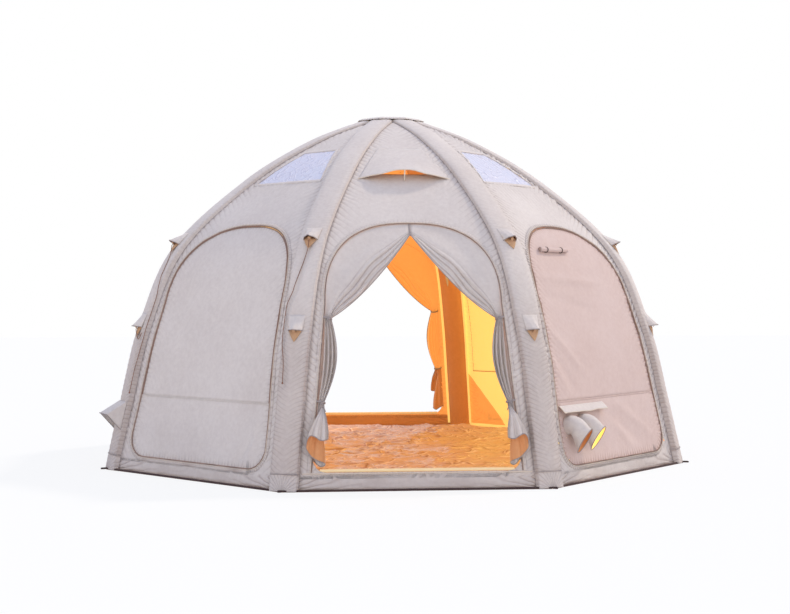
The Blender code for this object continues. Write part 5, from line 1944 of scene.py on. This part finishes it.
class TENT_OT_port(bpy.types.Operator):
    """Make the service port's flap and its two sleeves, and the rolled cover"""

    bl_idname = "tent.port"
    bl_label = "Service port"

    def execute(self, context):
        turn = face_turn(port_face)
        hinge = wall_point(0.0, port_flap_top, 0.001)

        def flap_point(u, v):
            across = lerp(port_flap_left, port_flap_right, u)
            sag = 0.002 * math.sin(3 * math.pi * u) * v + 0.003 * uneven(u * 6, v * 2, 5.0)
            out = port_flap_reach * v
            return turn @ Vector((across, hinge.y - out, hinge.z - port_flap_drop * v**1.3 + sag * v))

        mesh = surface(48, 8, flap_point, cloth=(0.65, 0.12))
        face_towards(mesh, Vector((0.0, 0.0, 1.0)))
        piece("canvas_port_flap", mesh, ["coated_polycotton_canvas", "canvas_reverse"],
              body="port_flap", replaces=["port_flap"], thickness=canvas)
        rim = [flap_point(share, 1.0) for share in shares(48)]
        side = [flap_point(0.0, share) for share in shares(8)]
        tubes("port_flap_binding", [rim, side], port_binding_radius, "cotton_bias_tape",
              body="port_flap", sides=1)
        for number in (0, 1):
            self.duct(number, turn)
        self.roll(turn)
        return {"FINISHED"}

    def duct_line(self, start, heading, straight):
        """The middle line of a duct: a collar, a bend down and a straight end."""
        spot = Vector((-start.y, start.z))
        path = [spot.copy()]
        spot += Vector((math.cos(heading), math.sin(heading))) * duct_collar
        path.append(spot.copy())
        turn_step = (heading + duct_hang) / duct_bend_steps
        step_length = duct_bend_radius * 2 * math.sin(turn_step / 2)
        direction = heading - turn_step / 2
        for _ in range(duct_bend_steps):
            spot += Vector((math.cos(direction), math.sin(direction))) * step_length
            direction -= turn_step
            path.append(spot.copy())
        hanging = Vector((math.cos(duct_hang), -math.sin(duct_hang)))
        for share in shares(duct_straight_steps)[1:]:
            path.append(spot + hanging * straight * share)
        return Line(path)

    def duct(self, number, turn):
        """A short hose of canvas that slants down from its port."""
        body = f"duct_sleeve_{number + 1}"
        centre = port_centres[number]
        _, normal = wall_middle.at(wall_middle.run_at(port_height))
        straight = duct_lengths[number]
        heading = math.atan2(normal.y, normal.x)
        line = self.duct_line(wall_point(centre, port_height, gap), heading, straight)

        def place(u, v):
            angle = 2 * math.pi * u
            run = line.length * v - mouth_slant * v**3 * (1 - math.cos(angle)) / 2
            middle, out = line.at(run)
            crumple = 1 + 0.03 * math.sin(3 * angle + v * 9) * math.sin(math.pi * v)
            crumple += 0.03 * uneven(math.sin(angle) * 2, v * 9, number + 1.0)
            flat = max(0.0, 1 - line.length * (1 - v) / straight)
            high = lerp(duct_radius, duct_mouth_half_height, flat) * crumple
            wide = lerp(duct_radius, duct_mouth_half_width, flat) * crumple
            pinch = 1 - 0.35 * flat * abs(math.cos(angle)) ** 6
            spot = middle + out * (high * math.cos(angle))
            return turn @ Vector((centre + wide * pinch * math.sin(angle), -spot.x, spot.y))

        mesh = surface(36, 40, place, True, (0.4, 0.3))
        bmesh.ops.recalc_face_normals(mesh, faces=mesh.faces)
        sleeve = piece(f"canvas_{body}", mesh,
                       ["coated_polycotton_canvas", duct_linings[number]],
                       body=body, replaces=[body], thickness=canvas)
        self.outward(sleeve, turn @ wall_point(centre, port_height, 0.1))
        mouth = [place(share, 1.0) for share in shares(36)[:-1]]
        tubes(f"{body}_hem", [mouth], port_binding_radius, "canvas_seam", body=body, cyclic=True, sides=1)

    def outward(self, item, axis_point):
        """Turns a tube's faces so that they look away from its axis."""
        data = item.data
        total = sum((poly.center - axis_point).dot(poly.normal) for poly in data.polygons)
        if total < 0:
            data.flip_normals()

    def roll(self, turn):
        """The rolled cover near the window's top, with its two ties: a spiral of cloth."""
        body = f"window_flap_{face_names[port_face]}"
        _, normal = wall_middle.at(wall_middle.run_at(roll_height))
        tangent = Vector((-normal.y, normal.x))
        start = wall_point(roll_across, roll_height, roll_radius + gap)
        centre = Vector((-start.y, start.z))

        def round_roll(along, angle, reach, sag):
            spot = centre + normal * (reach * math.cos(angle)) + tangent * (reach * math.sin(angle) + sag)
            return turn @ Vector((roll_across + along, -spot.x, spot.y))

        def place(u, v):
            reach = lerp(0.003, roll_radius, v)
            sag = -0.003 * math.sin(math.pi * u)
            return round_roll(roll_length * (u - 0.5), 2 * math.pi * roll_turns * v, reach, sag)

        mesh = surface(20, 70, place, cloth=(0.36, 0.2))
        bmesh.ops.recalc_face_normals(mesh, faces=mesh.faces)
        piece("canvas_window_roll", mesh, ["sunlit_polycotton_canvas"], body=body,
              replaces=["window_roll"], thickness=roll_thickness, offset=0.0)
        ties = []
        for along in roll_tie_places:
            angles = [2 * math.pi * share for share in shares(24)[:-1]]
            ties.append([round_roll(along, angle, roll_radius + 0.002, -0.003) for angle in angles])
        tubes("window_roll_ties", ties, roll_tie_radius, "dark_polyester_webbing", body=body,
              cyclic=True, sides=1)


# The low hood on the left front sleeve
low_hood_beam = 6
low_hood_top = 0.505
low_hood_rim = 0.385
low_hood_bottom = 0.30
low_hood_half_width = 0.086
low_hood_reach = 0.125
# The share of the cloth's width that each cheek takes
low_hood_cheek = 0.28
low_hood_binding_radius = 0.0035


class TENT_OT_low_hood(bpy.types.Operator):
    """Make the large hood low on the left front sleeve"""

    bl_idname = "tent.low_hood"
    bl_label = "Low hood"

    def execute(self, context):
        turn = beam_turn(low_hood_beam)

        def place(u, v):
            down = lerp(0.02, 1.0, v)
            over = lerp(low_hood_top, low_hood_rim, down)
            foot = lerp(low_hood_top, low_hood_bottom, down)
            lift = 0.001 + low_hood_reach * down
            beside = min(u, 1 - u)
            if beside < low_hood_cheek:
                across = math.copysign(low_hood_half_width, u - 0.5)
                bottom = sleeve_point(across, foot, 0.001)
                return turn @ bottom.lerp(sleeve_point(across, over, lift), beside / low_hood_cheek)
            across = lerp(-1.0, 1.0, (u - low_hood_cheek) / (1 - 2 * low_hood_cheek))
            bulge = 0.007 * (1 - across**2) * down
            return turn @ sleeve_point(across * low_hood_half_width, over, lift + bulge)

        mesh = surface(50, 16, place, cloth=(0.42, 0.2))
        face_towards(mesh, outside(turn))
        piece("canvas_low_hood", mesh, ["coated_polycotton_canvas"],
              replaces=["low_vent_hood"], thickness=canvas)
        rim = [place(share, 1.0) for share in shares(50)]
        tubes("low_hood_binding", [rim], low_hood_binding_radius, "canvas_seam", sides=1)
        return {"FINISHED"}


class TENT_PT_panel(bpy.types.Panel):
    """Buttons for each group of the tent's pieces"""

    bl_idname = "TENT_PT_panel"
    bl_label = "Tent"
    bl_space_type = "VIEW_3D"
    bl_region_type = "UI"
    bl_category = "Tent"

    def draw(self, context):
        for name in ("wrinkle", "seam_radius", "zip_radius", "fold_depth"):
            self.layout.prop(context.scene.tent_sizes, name)
        for name in ("canvas", "lining", "window", "floor", "trim"):
            self.layout.prop(context.scene.tent_colours, name)
        for operator in operators:
            self.layout.operator(operator.bl_idname)


operators = (
    TENT_OT_materials,
    TENT_OT_stage,
    TENT_OT_cords,
    TENT_OT_sleeves,
    TENT_OT_walls,
    TENT_OT_roof,
    TENT_OT_curtains,
    TENT_OT_floor,
    TENT_OT_port,
    TENT_OT_low_hood,
)


def register():
    for item in (TentSizes, TentColours, *operators, TENT_PT_panel):
        bpy.utils.register_class(item)
    bpy.types.Scene.tent_sizes = bpy.props.PointerProperty(type=TentSizes)
    bpy.types.Scene.tent_colours = bpy.props.PointerProperty(type=TentColours)


def unregister():
    del bpy.types.Scene.tent_sizes
    del bpy.types.Scene.tent_colours
    for item in (TENT_PT_panel, *reversed(operators), TentColours, TentSizes):
        bpy.utils.unregister_class(item)


def main():
    register()
    for operator in operators:
        group, name = operator.bl_idname.split(".")
        getattr(getattr(bpy.ops, group), name)()


if __name__ == "__main__":
    main()
